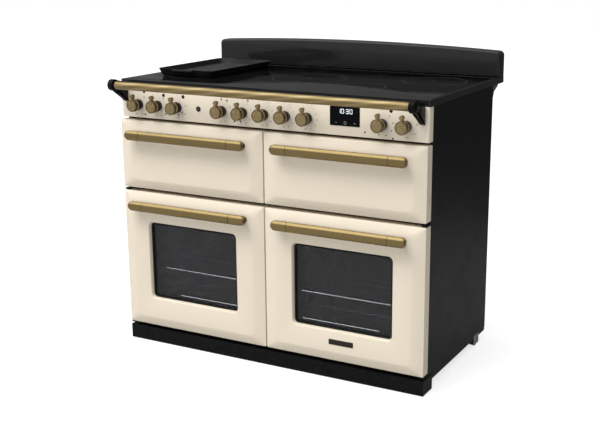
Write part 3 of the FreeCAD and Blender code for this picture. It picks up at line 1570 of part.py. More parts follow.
def grill_element():
    """A bent tube in straight passes joined by half turns, its two tails through the rear wall."""
    body = new_body("grill_tube")
    height = upper_cavity_foot + upper_cavity_height - P.element_drop
    path = new_sketch(body, "grill_path", "XY_Plane", height)
    near = frame_back_y + P.element_front
    far = frame_back_y + upper_cavity_depth - P.element_rear
    tail = frame_back_y + upper_cavity_depth + P.ring_lead
    radius = P.element_pitch * half
    start_x = -door_centre - P.element_pitch * ((ELEMENT_PASSES - 1) * half)
    first = None
    for number in range(ELEMENT_PASSES):
        x = start_x + P.element_pitch * number
        low_y = near + radius
        high_y = tail if number in (0, ELEMENT_PASSES - 1) else far - radius
        line = sketch_line(path, (x, low_y), (x, high_y))
        if first is None:
            first = line
    for number in range(ELEMENT_PASSES - 1):
        at_front = number % 2 == 0
        centre_y = near + radius if at_front else far - radius
        centre = (start_x + P.element_pitch * (number + half), centre_y)
        start = 180 if at_front else 0
        whole = Part.Circle(flat(centre), Vector(0, 0, 1), radius.value)
        arc = path.addGeometry(Part.ArcOfCircle(whole, math.radians(start), math.radians(start + 180)))
        ends = (1, 2) if at_front else (2, 1)
        point = 1 if at_front else 2
        path.addConstraint(Sketcher.Constraint("Coincident", arc, ends[0], first + number, point))
        path.addConstraint(Sketcher.Constraint("Coincident", arc, ends[1], first + number + 1, point))
        fix_point(path, arc, 3, (None, centre_y))
    profile = new_sketch(body, "grill_profile", "XZ_Plane", -tail)
    circle(profile, (start_x, height), P.element_tube)
    pipe = body.newObject("PartDesign::AdditivePipe", "grill_pipe")
    pipe.Profile = profile
    pipe.Spine = path
    return body


def sketch_line(sketch, start, end):
    """A straight line held at both ends."""
    index = sketch.addGeometry(Part.LineSegment(flat(start), flat(end)))
    fix_point(sketch, index, 1, start)
    fix_point(sketch, index, 2, end)
    return index


def grill():
    """The grill's liner with runners for the pan, and the pan with its rack."""
    wall = P.sheet
    left = -door_centre - cavity_half
    runners = []
    runner_z = upper_cavity_foot + P.runner_height
    for side in (-1, 1):
        x = left if side < 0 else left + cavity_width - P.runner_width
        size = (P.runner_width, upper_cavity_depth - P.pan_back, P.runner_thickness)
        runners.append(block("grill_runner_%d" % (side + 1), size, (x, frame_back_y, runner_z)))
    height = upper_cavity_foot + upper_cavity_height - P.element_drop
    holes = []
    for share in (-(ELEMENT_PASSES - 1) * half, (ELEMENT_PASSES - 1) * half):
        start = (-door_centre + P.element_pitch * share, frame_back_y + upper_cavity_depth - P.overrun, height)
        holes.append(rod("grill_hole_%d" % len(holes), P.element_tube + P.seat_gap, P.overrun * 2, start, ALONG_Y))
    liner = cavity_liner("grill", upper_cavity_foot, upper_cavity_height, upper_cavity_depth, runners, holes)
    node(liner, "grill_liner")
    pan_y = frame_back_y + P.pan_back
    pan_width = cavity_width - P.pan_side * 2
    pan_length = upper_cavity_depth - P.pan_back - P.pan_rear
    pan_top = runner_z + P.runner_thickness
    bowl = block("pan_bowl", (pan_width, pan_length, P.pan_height),
                 (-door_centre - pan_width * half, pan_y, pan_top + wall - P.pan_height))
    rim = block("pan_edge", (pan_width + P.pan_rim * 2, pan_length, wall),
                (-door_centre - pan_width * half - P.pan_rim, pan_y, pan_top))
    inside = block("pan_inside", (pan_width - wall * 2, pan_length - wall * 2, P.pan_height),
                   (-door_centre - pan_width * half + wall, pan_y + wall, pan_top + wall * 2 - P.pan_height))
    pan = cut("pan", fuse("pan_solid", [bowl, rim]), [inside])
    node(group("pan_set", [pan, rack(pan_y, pan_top + wall + P.wire_radius, pan_width, pan_length)]), "grill_pan")


def rack(pan_y, height, pan_width, pan_length):
    """A wire rack that rests on the pan's rim."""
    reach = pan_width * half + P.wire_radius
    front = pan_y + P.pan_rim
    span = pan_length - P.pan_rim * 2
    parts = []
    for number, y in enumerate((front, front + span)):
        start = (-door_centre - reach, y, height)
        parts.append(rod("rack_end_%d" % number, P.wire_radius, reach * 2, start, ALONG_X))
    for number in range(RACK_WIRES):
        share = number / (RACK_WIRES - 1)
        start = (-door_centre - reach + P.wire_radius + (reach - P.wire_radius) * 2 * share, front, height)
        parts.append(rod("rack_wire_%d" % number, P.thin_wire_radius, span, start, ALONG_Y))
    return fuse("rack", parts)


def drawer_housing():
    """The right-hand upper liner with a ledge on each side for the drawer's runners."""
    wall = P.sheet
    left = door_centre - cavity_half
    foot = upper_cavity_foot
    high = upper_cavity_height
    deep = upper_cavity_depth
    outer = block("housing_outer", (cavity_width + wall * 2, deep + wall, high + wall * 2),
                  (left - wall, frame_back_y, foot - wall))
    flange = block(
        "housing_flange",
        (cavity_width + P.liner_flange * 2, wall, high + P.liner_flange * 2),
        (left - P.liner_flange, frame_back_y, foot - P.liner_flange))
    inside = block("housing_inside", (cavity_width, deep + P.overrun, high),
                   (left, frame_back_y - P.overrun, foot))
    shell = cut("housing_shell", fuse("housing_solid", [outer, flange]), [inside])
    ledges = []
    ledge_z = upper_foot + P.drawer_foot + P.drawer_height * half - P.rail_thickness
    for side in (-1, 1):
        x = left if side < 0 else left + cavity_width - P.rail_ledge
        size = (P.rail_ledge, deep - P.pan_back, P.rail_thickness)
        ledges.append(block("ledge_%d" % (side + 1), size, (x, frame_back_y, ledge_z)))
    node(fuse("housing", [shell] + ledges), "drawer_housing")


oven_door()
badge()
grill_door()
door_hinges()
drawer()
side_panels()
front_frame()
plinth()
base_tray()
front_feet()
rollers()
back_panel()
hob()
backguard()
griddle()
fascia()
controls()
display()
indicator()
handrail()
ovens()
grill()
drawer_housing()

doc.recompute()
for item in doc.Objects:
    for fault in ("Invalid", "Error"):
        if fault in item.State:
            raise RuntimeError("%s is %s" % (item.Label, fault))
os.makedirs("parts", exist_ok=True)
for item in nodes:
    shape = item.Shape
    if shape.isNull() or not shape.isValid():
        raise RuntimeError("%s has no valid shape" % item.Label)
    shape.exportStep("parts/%s.step" % item.Label)
    box = shape.BoundBox
    print("%-26s %2d %12.0f  x %7.1f %7.1f  y %7.1f %7.1f  z %6.1f %6.1f" % (
        item.Label, len(shape.Solids), shape.Volume, box.XMin, box.XMax, box.YMin, box.YMax, box.ZMin, box.ZMax))
print(len(nodes), "nodes")
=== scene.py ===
# %% [markdown]
# # A range cooker, dressed piece by piece
# The engineering model of the cooker is already packed: every panel, hinge and knob has its place in
# metres, with +X to the right, +Y to the back and +Z up. This lesson loads that model, keeps the pieces
# whose shape is good enough, and replaces the ones that a viewer looks at closely with finer surfaces. Each
# surface is a formula worked out on a grid with numpy, so its edges, rolls and grooves sit exactly where
# the numbers say.

# %% The frame
import json
import math
import bmesh
import bpy
import numpy as np
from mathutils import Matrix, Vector


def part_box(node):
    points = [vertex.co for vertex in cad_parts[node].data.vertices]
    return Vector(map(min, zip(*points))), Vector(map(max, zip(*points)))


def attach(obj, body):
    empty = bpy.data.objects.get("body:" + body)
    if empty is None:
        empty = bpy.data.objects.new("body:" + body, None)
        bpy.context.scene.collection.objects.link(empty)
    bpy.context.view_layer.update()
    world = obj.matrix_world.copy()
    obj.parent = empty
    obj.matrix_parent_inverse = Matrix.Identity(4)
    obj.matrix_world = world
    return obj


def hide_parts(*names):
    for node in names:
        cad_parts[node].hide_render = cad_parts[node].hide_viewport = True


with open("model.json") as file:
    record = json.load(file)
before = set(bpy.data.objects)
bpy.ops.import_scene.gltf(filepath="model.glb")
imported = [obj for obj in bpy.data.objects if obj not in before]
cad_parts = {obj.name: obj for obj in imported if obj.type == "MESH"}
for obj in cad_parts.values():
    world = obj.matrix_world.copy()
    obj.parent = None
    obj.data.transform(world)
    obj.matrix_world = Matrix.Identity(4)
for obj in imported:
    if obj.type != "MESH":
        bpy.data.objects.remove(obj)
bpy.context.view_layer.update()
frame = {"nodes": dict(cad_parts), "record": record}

NODES = frame["nodes"]
mm = 0.001

# %% [markdown]
# ## The camera
# The photograph was taken from the right and a little above, with a fairly long lens, and cropped off its
# middle: the upright edges run together below a point right of the picture's centre. Fitting the long edges
# of doors, plinth, side and backguard gave one camera. Its focal length and the true middle of its view are
# given in pixels of a picture 600 wide, and a Blender lens is given for a 36 mm sensor.

# %% Camera
PICTURE_WIDTH, FOCAL_PIXELS, VIEW_MIDDLE = 600.0, 1030.9, 339.4
SENSOR = 36.0
camera_data = bpy.data.cameras.new("showroom_camera")
camera_data.sensor_width = SENSOR
camera_data.lens = SENSOR * FOCAL_PIXELS / PICTURE_WIDTH
camera_data.shift_x = (PICTURE_WIDTH / 2 - VIEW_MIDDLE) / PICTURE_WIDTH
camera = bpy.data.objects.new("showroom_camera", camera_data)
scene = bpy.context.scene
scene.collection.objects.link(camera)
around, down = math.radians(27.330), math.radians(14.267)
gaze = Vector((-math.sin(around) * math.cos(down), math.cos(around) * math.cos(down), -math.sin(down)))
camera.location = (1.6367, -2.9434, 1.3033)
camera.rotation_euler = gaze.to_track_quat("-Z", "Y").to_euler()
scene.camera = camera
print("lens", round(camera_data.lens, 2), "mm, looking along", [round(v, 3) for v in gaze])

# %% [markdown]
# ## Three helpers for nodes
# The light of the world and every finish is a graph of nodes. One helper makes a node and joins other
# sockets to it, one makes a step of arithmetic, and one rescales a value between two limits, which is how a
# soft change from one tone to another is drawn.

# %% Nodes, arithmetic and ramps
def node_of(tree, kind, links=None, **values):
    """A new node of that kind: values set a named property or socket, links join other sockets to it."""
    item = tree.nodes.new(kind)
    for key, value in values.items():
        if key in item.bl_rna.properties:
            setattr(item, key, value)
        else:
            item.inputs[key.replace("_", " ")].default_value = value
    for key, source in (links or {}).items():
        tree.links.new(source, item.inputs[key])
    return item


def feed(tree, item, terms):
    """Gives each named socket of a node its term, which is a number or another node's output."""
    for socket, term in terms.items():
        if isinstance(term, (int, float)):
            item.inputs[socket].default_value = term
        else:
            tree.links.new(term, item.inputs[socket])


def maths(tree, operation, a, b=0.0):
    """One step of arithmetic on a and b."""
    item = node_of(tree, "ShaderNodeMath", operation=operation)
    feed(tree, item, {0: a, 1: b})
    return item.outputs[0]


def ramp(tree, value, low, high, out_low=0.0, out_high=1.0, bend="SMOOTHSTEP"):
    """Value rescaled from low..high to out_low..out_high, held at the ends; smoothstep eases in and out."""
    item = node_of(tree, "ShaderNodeMapRange", {"Value": value}, interpolation_type=bend)
    feed(tree, item, {"From Min": low, "From Max": high, "To Min": out_low, "To Max": out_high})
    return item.outputs[0]


print("a ramp is a", bpy.types.ShaderNodeMapRange.bl_rna.name, "node")

# %% [markdown]
# ## Light, floor and white surroundings
# The cooker stands in plain studio light, and the air itself is the main light. Its glow is the product of
# three ramps: bright above and weaker towards the horizon, full in front and dim behind, and stronger on
# the left than on the right. Upward bevels shine, brass fronts stay brown and the black side mirrors almost
# nothing. The camera sees the air as pure white.

# %% The air
scene.view_settings.view_transform = "Standard"
world = bpy.data.worlds.new("studio_air")
scene.world = world
world.use_nodes = True
air = world.node_tree
air.nodes.clear()
facing = node_of(air, "ShaderNodeTexCoord").outputs["Generated"]
split = node_of(air, "ShaderNodeSeparateXYZ", {"Vector": facing})
height = ramp(air, split.outputs["Z"], 0.2, 0.95, 0.66, 2.5)
front = ramp(air, split.outputs["Y"], -0.3, 0.5, 1.0, 0.18)
aside = ramp(air, split.outputs["X"], -0.6, 0.7, 1.2, 0.5)
glow = maths(air, "MULTIPLY", maths(air, "MULTIPLY", height, front), aside)
camera_ray = node_of(air, "ShaderNodeLightPath").outputs["Is Camera Ray"]
level = node_of(air, "ShaderNodeMix", {"Factor": camera_ray}, data_type="FLOAT")
feed(air, level, {2: glow, 3: 1.0})
sky = node_of(air, "ShaderNodeBackground", {"Strength": level.outputs[0]}, Color=(1.0, 1.0, 1.0, 1.0))
node_of(air, "ShaderNodeOutputWorld", {"Surface": sky.outputs[0]})
print("the air's glow is worked out by", len(air.nodes), "nodes")

# %% [markdown]
# One soft box above, in front and a little to the left draws the soft shadows below the handles. Shiny
# surfaces don't mirror it, so no white rectangle shows on the hob.

# %% Lamp
def soft_box(name, place, target, size, watts):
    """A rectangular lamp at place, turned to shine on target."""
    data = bpy.data.lights.new(name, "AREA")
    data.shape = "RECTANGLE"
    data.size, data.size_y = size
    data.energy = watts
    lamp = bpy.data.objects.new(name, data)
    lamp.location = place
    lamp.rotation_euler = (Vector(target) - Vector(place)).to_track_quat("-Z", "Y").to_euler()
    scene.collection.objects.link(lamp)
    return lamp


upper_box = soft_box("upper_box", (-0.7, -2.1, 3.9), (0.0, -0.2, 0.5), (2.2, 1.4), 72)
upper_box.visible_glossy = False
print("lamp:", upper_box.name, "at", [round(v, 2) for v in upper_box.location])

# %% [markdown]
# The floor is a grid whose squares grow with the distance from the middle. It is a mid grey that bounces
# little light upwards; a glow that only the camera sees lifts it to white, and the cooker's shadow stays on
# it. Far behind, the floor turns dark, so that the black side panel mirrors light near the floor and almost
# nothing higher up, and the camera's glow grows there to keep the picture white.

# %% Floor
FLOOR_REACH, FLOOR_CELLS = 14.0, 40
FLOOR_NEAR, FLOOR_FAR = 0.3, 2.3
span = np.linspace(-1.0, 1.0, FLOOR_CELLS + 1)
away = np.sign(span) * span ** 2 * FLOOR_REACH
gx, gy = np.meshgrid(away, away)
ground = np.stack([gx, gy, gx * 0.0], -1).reshape(-1, 3)
index = np.arange(len(ground)).reshape(FLOOR_CELLS + 1, -1)
squares = np.stack([index[:-1, :-1], index[:-1, 1:], index[1:, 1:], index[1:, :-1]], -1).reshape(-1, 4)
floor_mesh = bpy.data.meshes.new("studio_floor")
floor_mesh.from_pydata(ground.tolist(), [], squares.tolist())
studio_floor = bpy.data.objects.new("studio_floor", floor_mesh)
scene.collection.objects.link(studio_floor)

floor_paint = bpy.data.materials.new("pale_floor")
floor_paint.use_nodes = True
tree = floor_paint.node_tree
shader = tree.nodes["Principled BSDF"]
place = node_of(tree, "ShaderNodeTexCoord").outputs["Object"]
cloud = node_of(tree, "ShaderNodeTexNoise", {"Vector": place}, Scale=0.7, Detail=3.0).outputs["Fac"]
back = node_of(tree, "ShaderNodeSeparateXYZ", {"Vector": place}).outputs["Y"]
tint = ramp(tree, cloud, 0.0, 1.0, 0.43, 0.47, "LINEAR")
shade = ramp(tree, back, FLOOR_NEAR, FLOOR_FAR, 1.0, 0.08, "LINEAR")
lift = ramp(tree, back, FLOOR_NEAR, FLOOR_FAR, 0.72, 1.1, "LINEAR")
camera_ray = node_of(tree, "ShaderNodeLightPath").outputs["Is Camera Ray"]
shader.inputs["Roughness"].default_value = 0.8
shader.inputs["Emission Color"].default_value = (1.0, 1.0, 1.0, 1.0)
tree.links.new(maths(tree, "MULTIPLY", tint, shade), shader.inputs["Base Color"])
tree.links.new(maths(tree, "MULTIPLY", camera_ray, lift), shader.inputs["Emission Strength"])
floor_mesh.materials.append(floor_paint)
print("floor:", len(floor_mesh.polygons), "squares,", 2 * FLOOR_REACH, "metres wide")

# %% [markdown]
# ## Shared effects
# Real finishes are never one flat value. Enamel has a faint orange peel where it flowed before it set, and
# hands leave soft smudges. Each such effect is one node group, made once with its own inputs, and every
# finish below sets its own amounts.

# %% Enamel peel and smudges
def effect(name, inputs, outputs):
    """An empty shader node group, its inputs' node and its outputs' node; inputs gives names and defaults."""
    group = bpy.data.node_groups.new(name, "ShaderNodeTree")
    for label, value in inputs.items():
        socket = group.interface.new_socket(label, in_out="INPUT", socket_type="NodeSocketFloat")
        socket.default_value = value
    for label in outputs:
        group.interface.new_socket(label, in_out="OUTPUT", socket_type="NodeSocketFloat")
    return group, group.nodes.new("NodeGroupInput"), group.nodes.new("NodeGroupOutput")


def noise_in(group, vector, scale, detail=2.0, rough=0.5):
    """A noise texture; its scale is a number or another node's output."""
    item = node_of(group, "ShaderNodeTexNoise", {"Vector": vector}, Detail=detail, Roughness=rough)
    feed(group, item, {"Scale": scale})
    return item.outputs["Fac"]


def object_point(group):
    """The point on the piece in its own coordinates, which are the cooker's, in metres."""
    return node_of(group, "ShaderNodeTexCoord").outputs["Object"]


peel, ends, out = effect("enamel_peel", {"Scale": 240.0, "Ripple": 0.6}, ["Height", "Tone"])
spot = object_point(peel)
flow = noise_in(peel, spot, 9.0, 2.0)
wave = maths(peel, "MULTIPLY", flow, ends.outputs["Ripple"])
fine = noise_in(peel, spot, ends.outputs["Scale"], 1.0)
peel.links.new(maths(peel, "ADD", fine, wave), out.inputs["Height"])
peel.links.new(flow, out.inputs["Tone"])

smudge, ends, out = effect("hand_smudges", {"Low": 0.2, "High": 0.35, "Scale": 12.0}, ["Roughness"])
patch = noise_in(smudge, object_point(smudge), ends.outputs["Scale"], 4.0, 0.62)
mask = ramp(smudge, patch, 0.42, 0.66)
smudged = ramp(smudge, mask, 0.0, 1.0, ends.outputs["Low"], ends.outputs["High"])
smudge.links.new(smudged, out.inputs["Roughness"])
print("effects:", peel.name, "and", smudge.name)

# %% [markdown]
# Brushed metal has fine parallel scratches: a noise squeezed across the brush and drawn out along it, after
# the point is turned by the brush's slant. Folded and pressed edges are painted lighter, partly as wear and
# partly as a painted highlight, and the griddle's floor as a painted reflection; each piece's mesh carries a
# value named wear_and_painted_light that says where, and a broken noise decides how much of it shows. On
# brass the same value marks patina in hollows and painted shade.

# %% Brushed grain and worn folds
grain, ends, out = effect("brushed_grain", {"Along": 14.0, "Across": 900.0, "Turn": 0.0}, ["Height", "Tone"])
turned_spot = node_of(grain, "ShaderNodeVectorRotate",
                      {"Vector": object_point(grain), "Angle": ends.outputs["Turn"]}, rotation_type="Y_AXIS")
cut_up = node_of(grain, "ShaderNodeSeparateXYZ", {"Vector": turned_spot.outputs[0]})
drawn = {axis: maths(grain, "MULTIPLY", cut_up.outputs[axis], ends.outputs[pull])
         for axis, pull in (("X", "Along"), ("Y", "Across"), ("Z", "Across"))}
stretch = node_of(grain, "ShaderNodeCombineXYZ", drawn)
lines = noise_in(grain, stretch.outputs[0], 1.0, 3.0, 0.6)
grain.links.new(lines, out.inputs["Height"])
grain.links.new(ramp(grain, lines, 0.3, 0.7), out.inputs["Tone"])


def fold_value(group):
    """The value named wear_and_painted_light that a piece's mesh carries, which is 0 on a mesh without one:
    wear, patina, painted highlight and painted shade.
    """
    return node_of(group, "ShaderNodeAttribute", attribute_name="wear_and_painted_light").outputs["Fac"]


# Lighter marked edges: partly wear, partly a painted highlight along folds, and a painted reflection on the
# griddle's floor.
worn_and_lit, ends, out = effect("worn_and_lit_fold", {"Amount": 0.6}, ["Mask"])
broken = ramp(worn_and_lit, noise_in(worn_and_lit, object_point(worn_and_lit), 160.0, 3.0), 0.35, 0.65)
mask = maths(worn_and_lit, "MULTIPLY", broken, fold_value(worn_and_lit))
worn_and_lit.links.new(maths(worn_and_lit, "MULTIPLY", mask, ends.outputs["Amount"]), out.inputs["Mask"])
print("effects:", grain.name, "and", worn_and_lit.name)

# %% [markdown]
# Dark enamel is fired with tiny pale specks, each a cell of a Voronoi pattern cut down to its own size.
# Dust settles low down: a mask that fades upwards, broken by a fine noise.

# %% Specks and dust
speckle, ends, out = effect("enamel_speckle", {"Scale": 420.0, "Share": 0.2}, ["Mask"])
cells = node_of(speckle, "ShaderNodeTexVoronoi",
                {"Vector": object_point(speckle), "Scale": ends.outputs["Scale"]})
size = node_of(speckle, "ShaderNodeSeparateColor", {"Color": cells.outputs["Color"]}).outputs[0]
reach = maths(speckle, "MULTIPLY", size, ends.outputs["Share"])
speckle.links.new(maths(speckle, "LESS_THAN", cells.outputs["Distance"], reach), out.inputs["Mask"])

dust, ends, out = effect("settled_dust", {"Amount": 0.25, "Up To": 0.25}, ["Mask"])
spot = object_point(dust)
rise = node_of(dust, "ShaderNodeSeparateXYZ", {"Vector": spot}).outputs["Z"]
low_down = ramp(dust, rise, 0.0, ends.outputs["Up To"], 1.0, 0.0)
motes = ramp(dust, noise_in(dust, spot, 60.0, 5.0, 0.7), 0.4, 0.75)
mask = maths(dust, "MULTIPLY", low_down, motes)
dust.links.new(maths(dust, "MULTIPLY", mask, ends.outputs["Amount"]), out.inputs["Mask"])
print("effects:", speckle.name, "and", dust.name)

# %% [markdown]
# ## The finishes
# A finish is a Principled shader whose sockets are fed by the effects above. The numbers that are the same
# all over a surface, such as how metallic it is or its coat, are set on the shader itself; only what
# changes over the surface comes through nodes. The engineering pieces have sharp edges, so their finishes
# get a bevelled normal: the shader looks a millimetre round each edge and bends the light there, as a
# folded or cast edge would.

# %% Building a finish
FINISHES = {}


def finish(name, colour, rough, metal=0.0, **sockets):
    """A material and its Principled shader; rough is the low and high roughness of the smudges."""
    paint = bpy.data.materials.new(name)
    paint.use_nodes = True
    tree = paint.node_tree
    shader = tree.nodes["Principled BSDF"]
    shader.inputs["Base Color"].default_value = (*colour, 1.0)
    shader.inputs["Metallic"].default_value = metal
    for key, value in sockets.items():
        shader.inputs[key.replace("_", " ")].default_value = value
    marks = use(tree, smudge, Low=rough[0], High=rough[1])
    tree.links.new(marks.outputs["Roughness"], shader.inputs["Roughness"])
    FINISHES[name] = paint
    return tree, shader


def use(tree, group, **values):
    """One of the shared effects placed in a material with its own amounts."""
    item = tree.nodes.new("ShaderNodeGroup")
    item.node_tree = group
    for key, value in values.items():
        item.inputs[key.replace("_", " ")].default_value = value
    return item


def bump(tree, shader, height, depth, edge=0.0):
    """Feeds a Bump node, over a bevelled normal where edge is given, into the shader's Normal."""
    raised = node_of(tree, "ShaderNodeBump", {"Height": height}, Strength=1.0, Distance=depth)
    if edge:
        rounding = node_of(tree, "ShaderNodeBevel", samples=4, Radius=edge)
        tree.links.new(rounding.outputs[0], raised.inputs["Normal"])
    tree.links.new(raised.outputs[0], shader.inputs["Normal"])


def between(tree, factor, first, second):
    """A colour between two by a mask; each is three numbers or another node's output."""
    mix = node_of(tree, "ShaderNodeMix", {"Factor": factor}, data_type="RGBA")
    for socket, colour in ((6, first), (7, second)):
        if isinstance(colour, tuple):
            mix.inputs[socket].default_value = (*colour, 1.0)
        else:
            tree.links.new(colour, mix.inputs[socket])
    return mix.outputs[2]


def blend_colour(tree, shader, factor, first, second):
    """Base Color between two colours by a mask."""
    shown = between(tree, factor, first, second)
    tree.links.new(shown, shader.inputs["Base Color"])
    return shown


print("a finish can use", len(bpy.data.node_groups), "shared effects")

# %% [markdown]
# Three kinds of finish cover almost everything. Enamel has orange peel in the bump, a tone that drifts by
# one and a half percent, lighter folds, which are partly wear and partly a painted highlight, and sometimes
# dust. Brushed metal has scratches in tone and bump, and brass has a dark brown patina in its hollows and
# the same brown as painted shade on sides and under and behind the bars, which the wear_and_painted_light
# value marks there. Skins are the moulded, printed and cast surfaces: one colour with a fine texture.

# %% Enamel, brushed metal and skins
DUST_COLOUR = (0.34, 0.32, 0.29)
# Dark brown: patina in brass hollows, and painted shade.
PATINA_AND_SHADE_COLOUR = (0.035, 0.024, 0.014)


def enamel(name, colour, worn_and_lit_colour, rough, peel_depth, edge=0.0, dusty=0.0, **sockets):
    """Vitreous enamel: orange peel in the bump, lighter folds that are partly wear and partly a painted
    highlight, a little dust low down.
    """
    tree, shader = finish(name, colour, rough, **sockets)
    coat = use(tree, peel)
    bump(tree, shader, coat.outputs["Height"], peel_depth, edge)
    darker, lighter = (tuple(min(v * share, 1.0) for v in colour) for share in (0.985, 1.015))
    tone = between(tree, coat.outputs["Tone"], darker, lighter)
    # The marked folds are painted in the lighter colour: partly wear, partly a painted highlight.
    shown = blend_colour(tree, shader, use(tree, worn_and_lit, Amount=0.25).outputs["Mask"], tone, worn_and_lit_colour)
    if dusty:
        shown = blend_colour(tree, shader, use(tree, dust, Amount=dusty).outputs["Mask"], shown, DUST_COLOUR)
    return tree, shader, shown


def brushed(name, colour, dark, rough, metal=1.0, along=14.0, across=900.0, turn=0.0, depth=0.02 * mm,
            edge=0.0, patina_and_shade=0.0):
    """Brushed metal: long scratches in tone and bump, and brown where the wear_and_painted_light value is
    high: patina in hollows and painted shade elsewhere.
    """
    tree, shader = finish(name, colour, rough, metal)
    lines = use(tree, grain, Along=along, Across=across, Turn=turn)
    bump(tree, shader, lines.outputs["Height"], depth, edge)
    shown = blend_colour(tree, shader, lines.outputs["Tone"], dark, colour)
    # Brown patina in hollows, and painted shade where the mesh marks it.
    if patina_and_shade:
        patina_and_shade_share = maths(tree, "MULTIPLY", fold_value(tree), patina_and_shade)
        shown = blend_colour(tree, shader, patina_and_shade_share, shown, PATINA_AND_SHADE_COLOUR)
    return tree, shader, shown


def skin(name, colour, rough, scale, depth, edge=0.0, ripple=0.6, **sockets):
    """A moulded, printed or cast surface: one colour with a fine texture in the bump."""
    tree, shader = finish(name, colour, rough, **sockets)
    bump(tree, shader, use(tree, peel, Scale=scale, Ripple=ripple).outputs["Height"], depth, edge)
    return tree, shader


print("three kinds of finish:", enamel.__name__ + ",", brushed.__name__, "and", skin.__name__)

# %% [markdown]
# Cream enamel is the cooker's main colour: warm, glossy and slightly wavy. The fascia's cream is painted a
# touch paler than the doors' to make up for the rail's shade on it, a painted light. The black enamel comes
# in a gloss for the hob surround and the backguard, in a satin for the sides, and in a deeper black for the
# plinth, the rail's arms and the knobs' collars. Satin and deep black gather a little dust near the floor.
# The insides of ovens and pans are dark and speckled.

# %% Enamels
# The cream's lighter second colour is painted on the pressed edges, as wear and as a painted highlight.
enamel("cream_enamel", (0.79, 0.70, 0.565), (0.87, 0.79, 0.67), (0.30, 0.34), 0.02 * mm,
       Specular_IOR_Level=0.4)
# A copy of the cream made a tenth lighter: painted light against the rail's shade on the fascia.
enamel("cream_painted_lighter", (0.87, 0.775, 0.63), (0.66, 0.58, 0.46), (0.32, 0.36), 0.02 * mm, 1.2 * mm,
       Specular_IOR_Level=0.4)
enamel("black_gloss_enamel", (0.014, 0.014, 0.015), (0.06, 0.06, 0.06), (0.06, 0.16), 0.03 * mm, 1.2 * mm,
       Specular_IOR_Level=0.32)
enamel("black_satin_enamel", (0.005, 0.005, 0.006), (0.03, 0.03, 0.03), (0.36, 0.40), 0.02 * mm, 1.0 * mm,
       dusty=0.03, Specular_IOR_Level=0.16)
enamel("deep_black_enamel", (0.003, 0.003, 0.004), (0.02, 0.02, 0.02), (0.3, 0.36), 0.02 * mm, 1.0 * mm,
       dusty=0.02, Specular_IOR_Level=0.1)
for name, ground_colour, speck_colour, share in (
        ("oven_enamel", (0.030, 0.031, 0.035), (0.10, 0.105, 0.115), 0.16),
        ("pan_enamel", (0.016, 0.016, 0.018), (0.09, 0.092, 0.10), 0.12)):
    tree, shader, shown = enamel(name, ground_colour, speck_colour, (0.22, 0.4), 0.05 * mm, 1.5 * mm)
    blend_colour(tree, shader, use(tree, speckle, Share=share).outputs["Mask"], shown, speck_colour)
print("enamels:", ", ".join(FINISHES))

# %% [markdown]
# The brass is antiqued: brushed along the bars, brown in its hollows and golden where the light catches;
# the same brown is painted as shade under and behind the bars and on the knobs' sides.
# Knobs are brushed on the slant. The handrail was polished on a turning spindle, so slanting lighter bands
# wind round it; that pattern follows the tube's own UV map, whose first number is the place along the rail
# in metres and whose second is the share of a turn.

# %% Brass
# The brown marked on the handles and knobs is patina in hollows and painted shade under, behind and on the
# sides.
brushed("brushed_brass", (0.335, 0.25, 0.112), (0.29, 0.212, 0.09), (0.27, 0.30), across=2200.0,
        depth=0.002 * mm, patina_and_shade=0.9)
brushed("knob_brass", (0.43, 0.33, 0.17), (0.30, 0.22, 0.105), (0.26, 0.32), along=60.0, across=520.0,
        turn=0.9, depth=0.004 * mm, patina_and_shade=0.92)
tree, shader, shown = brushed("spun_brass", (0.285, 0.212, 0.098), (0.245, 0.18, 0.08), (0.28, 0.30),
                              across=2200.0, depth=0.002 * mm)
BANDS_PER_METRE, BANDS_PER_TURN = 8.0, 4.0
wound = node_of(tree, "ShaderNodeUVMap", uv_map="spun").outputs[0]
parts = node_of(tree, "ShaderNodeSeparateXYZ", {"Vector": wound}).outputs
lead = maths(tree, "ADD", maths(tree, "MULTIPLY", parts["X"], BANDS_PER_METRE),
             maths(tree, "MULTIPLY", parts["Y"], BANDS_PER_TURN))
from_middle = maths(tree, "ABSOLUTE", maths(tree, "SUBTRACT", maths(tree, "FRACT", lead), 0.5))
band = ramp(tree, from_middle, 0.18, 0.42)
blend_colour(tree, shader, maths(tree, "MULTIPLY", band, 0.5), shown, (0.46, 0.365, 0.195))
print(len(FINISHES), "finishes so far")

# %% [markdown]
# The hob is black ceramic glass with a few pale flecks and faint grey print. The oven panes are tinted and
# let the dark cavity show; they keep their transmission on the shader. Cast iron is pitted, lighter along its
# folds, partly as wear and partly as a painted highlight, and painted lighter on the griddle's floor as a
# painted reflection.

# %% Glass, print, plastic, rubber and iron
HOB_BLACK, IRON_BLACK = (0.006, 0.006, 0.0065), (0.004, 0.004, 0.004)
tree, shader = skin("ceramic_glass", HOB_BLACK, (0.05, 0.12), 900.0, 0.003 * mm, 0.8 * mm, 0.2,
                    Specular_IOR_Level=0.24)
flecks = use(tree, speckle, Scale=700.0, Share=0.05).outputs["Mask"]
blend_colour(tree, shader, flecks, HOB_BLACK, (0.022, 0.022, 0.023))
tree, shader = skin("cast_iron", IRON_BLACK, (0.42, 0.62), 620.0, 0.4 * mm, 0.0, 1.0, Specular_IOR_Level=0.25)
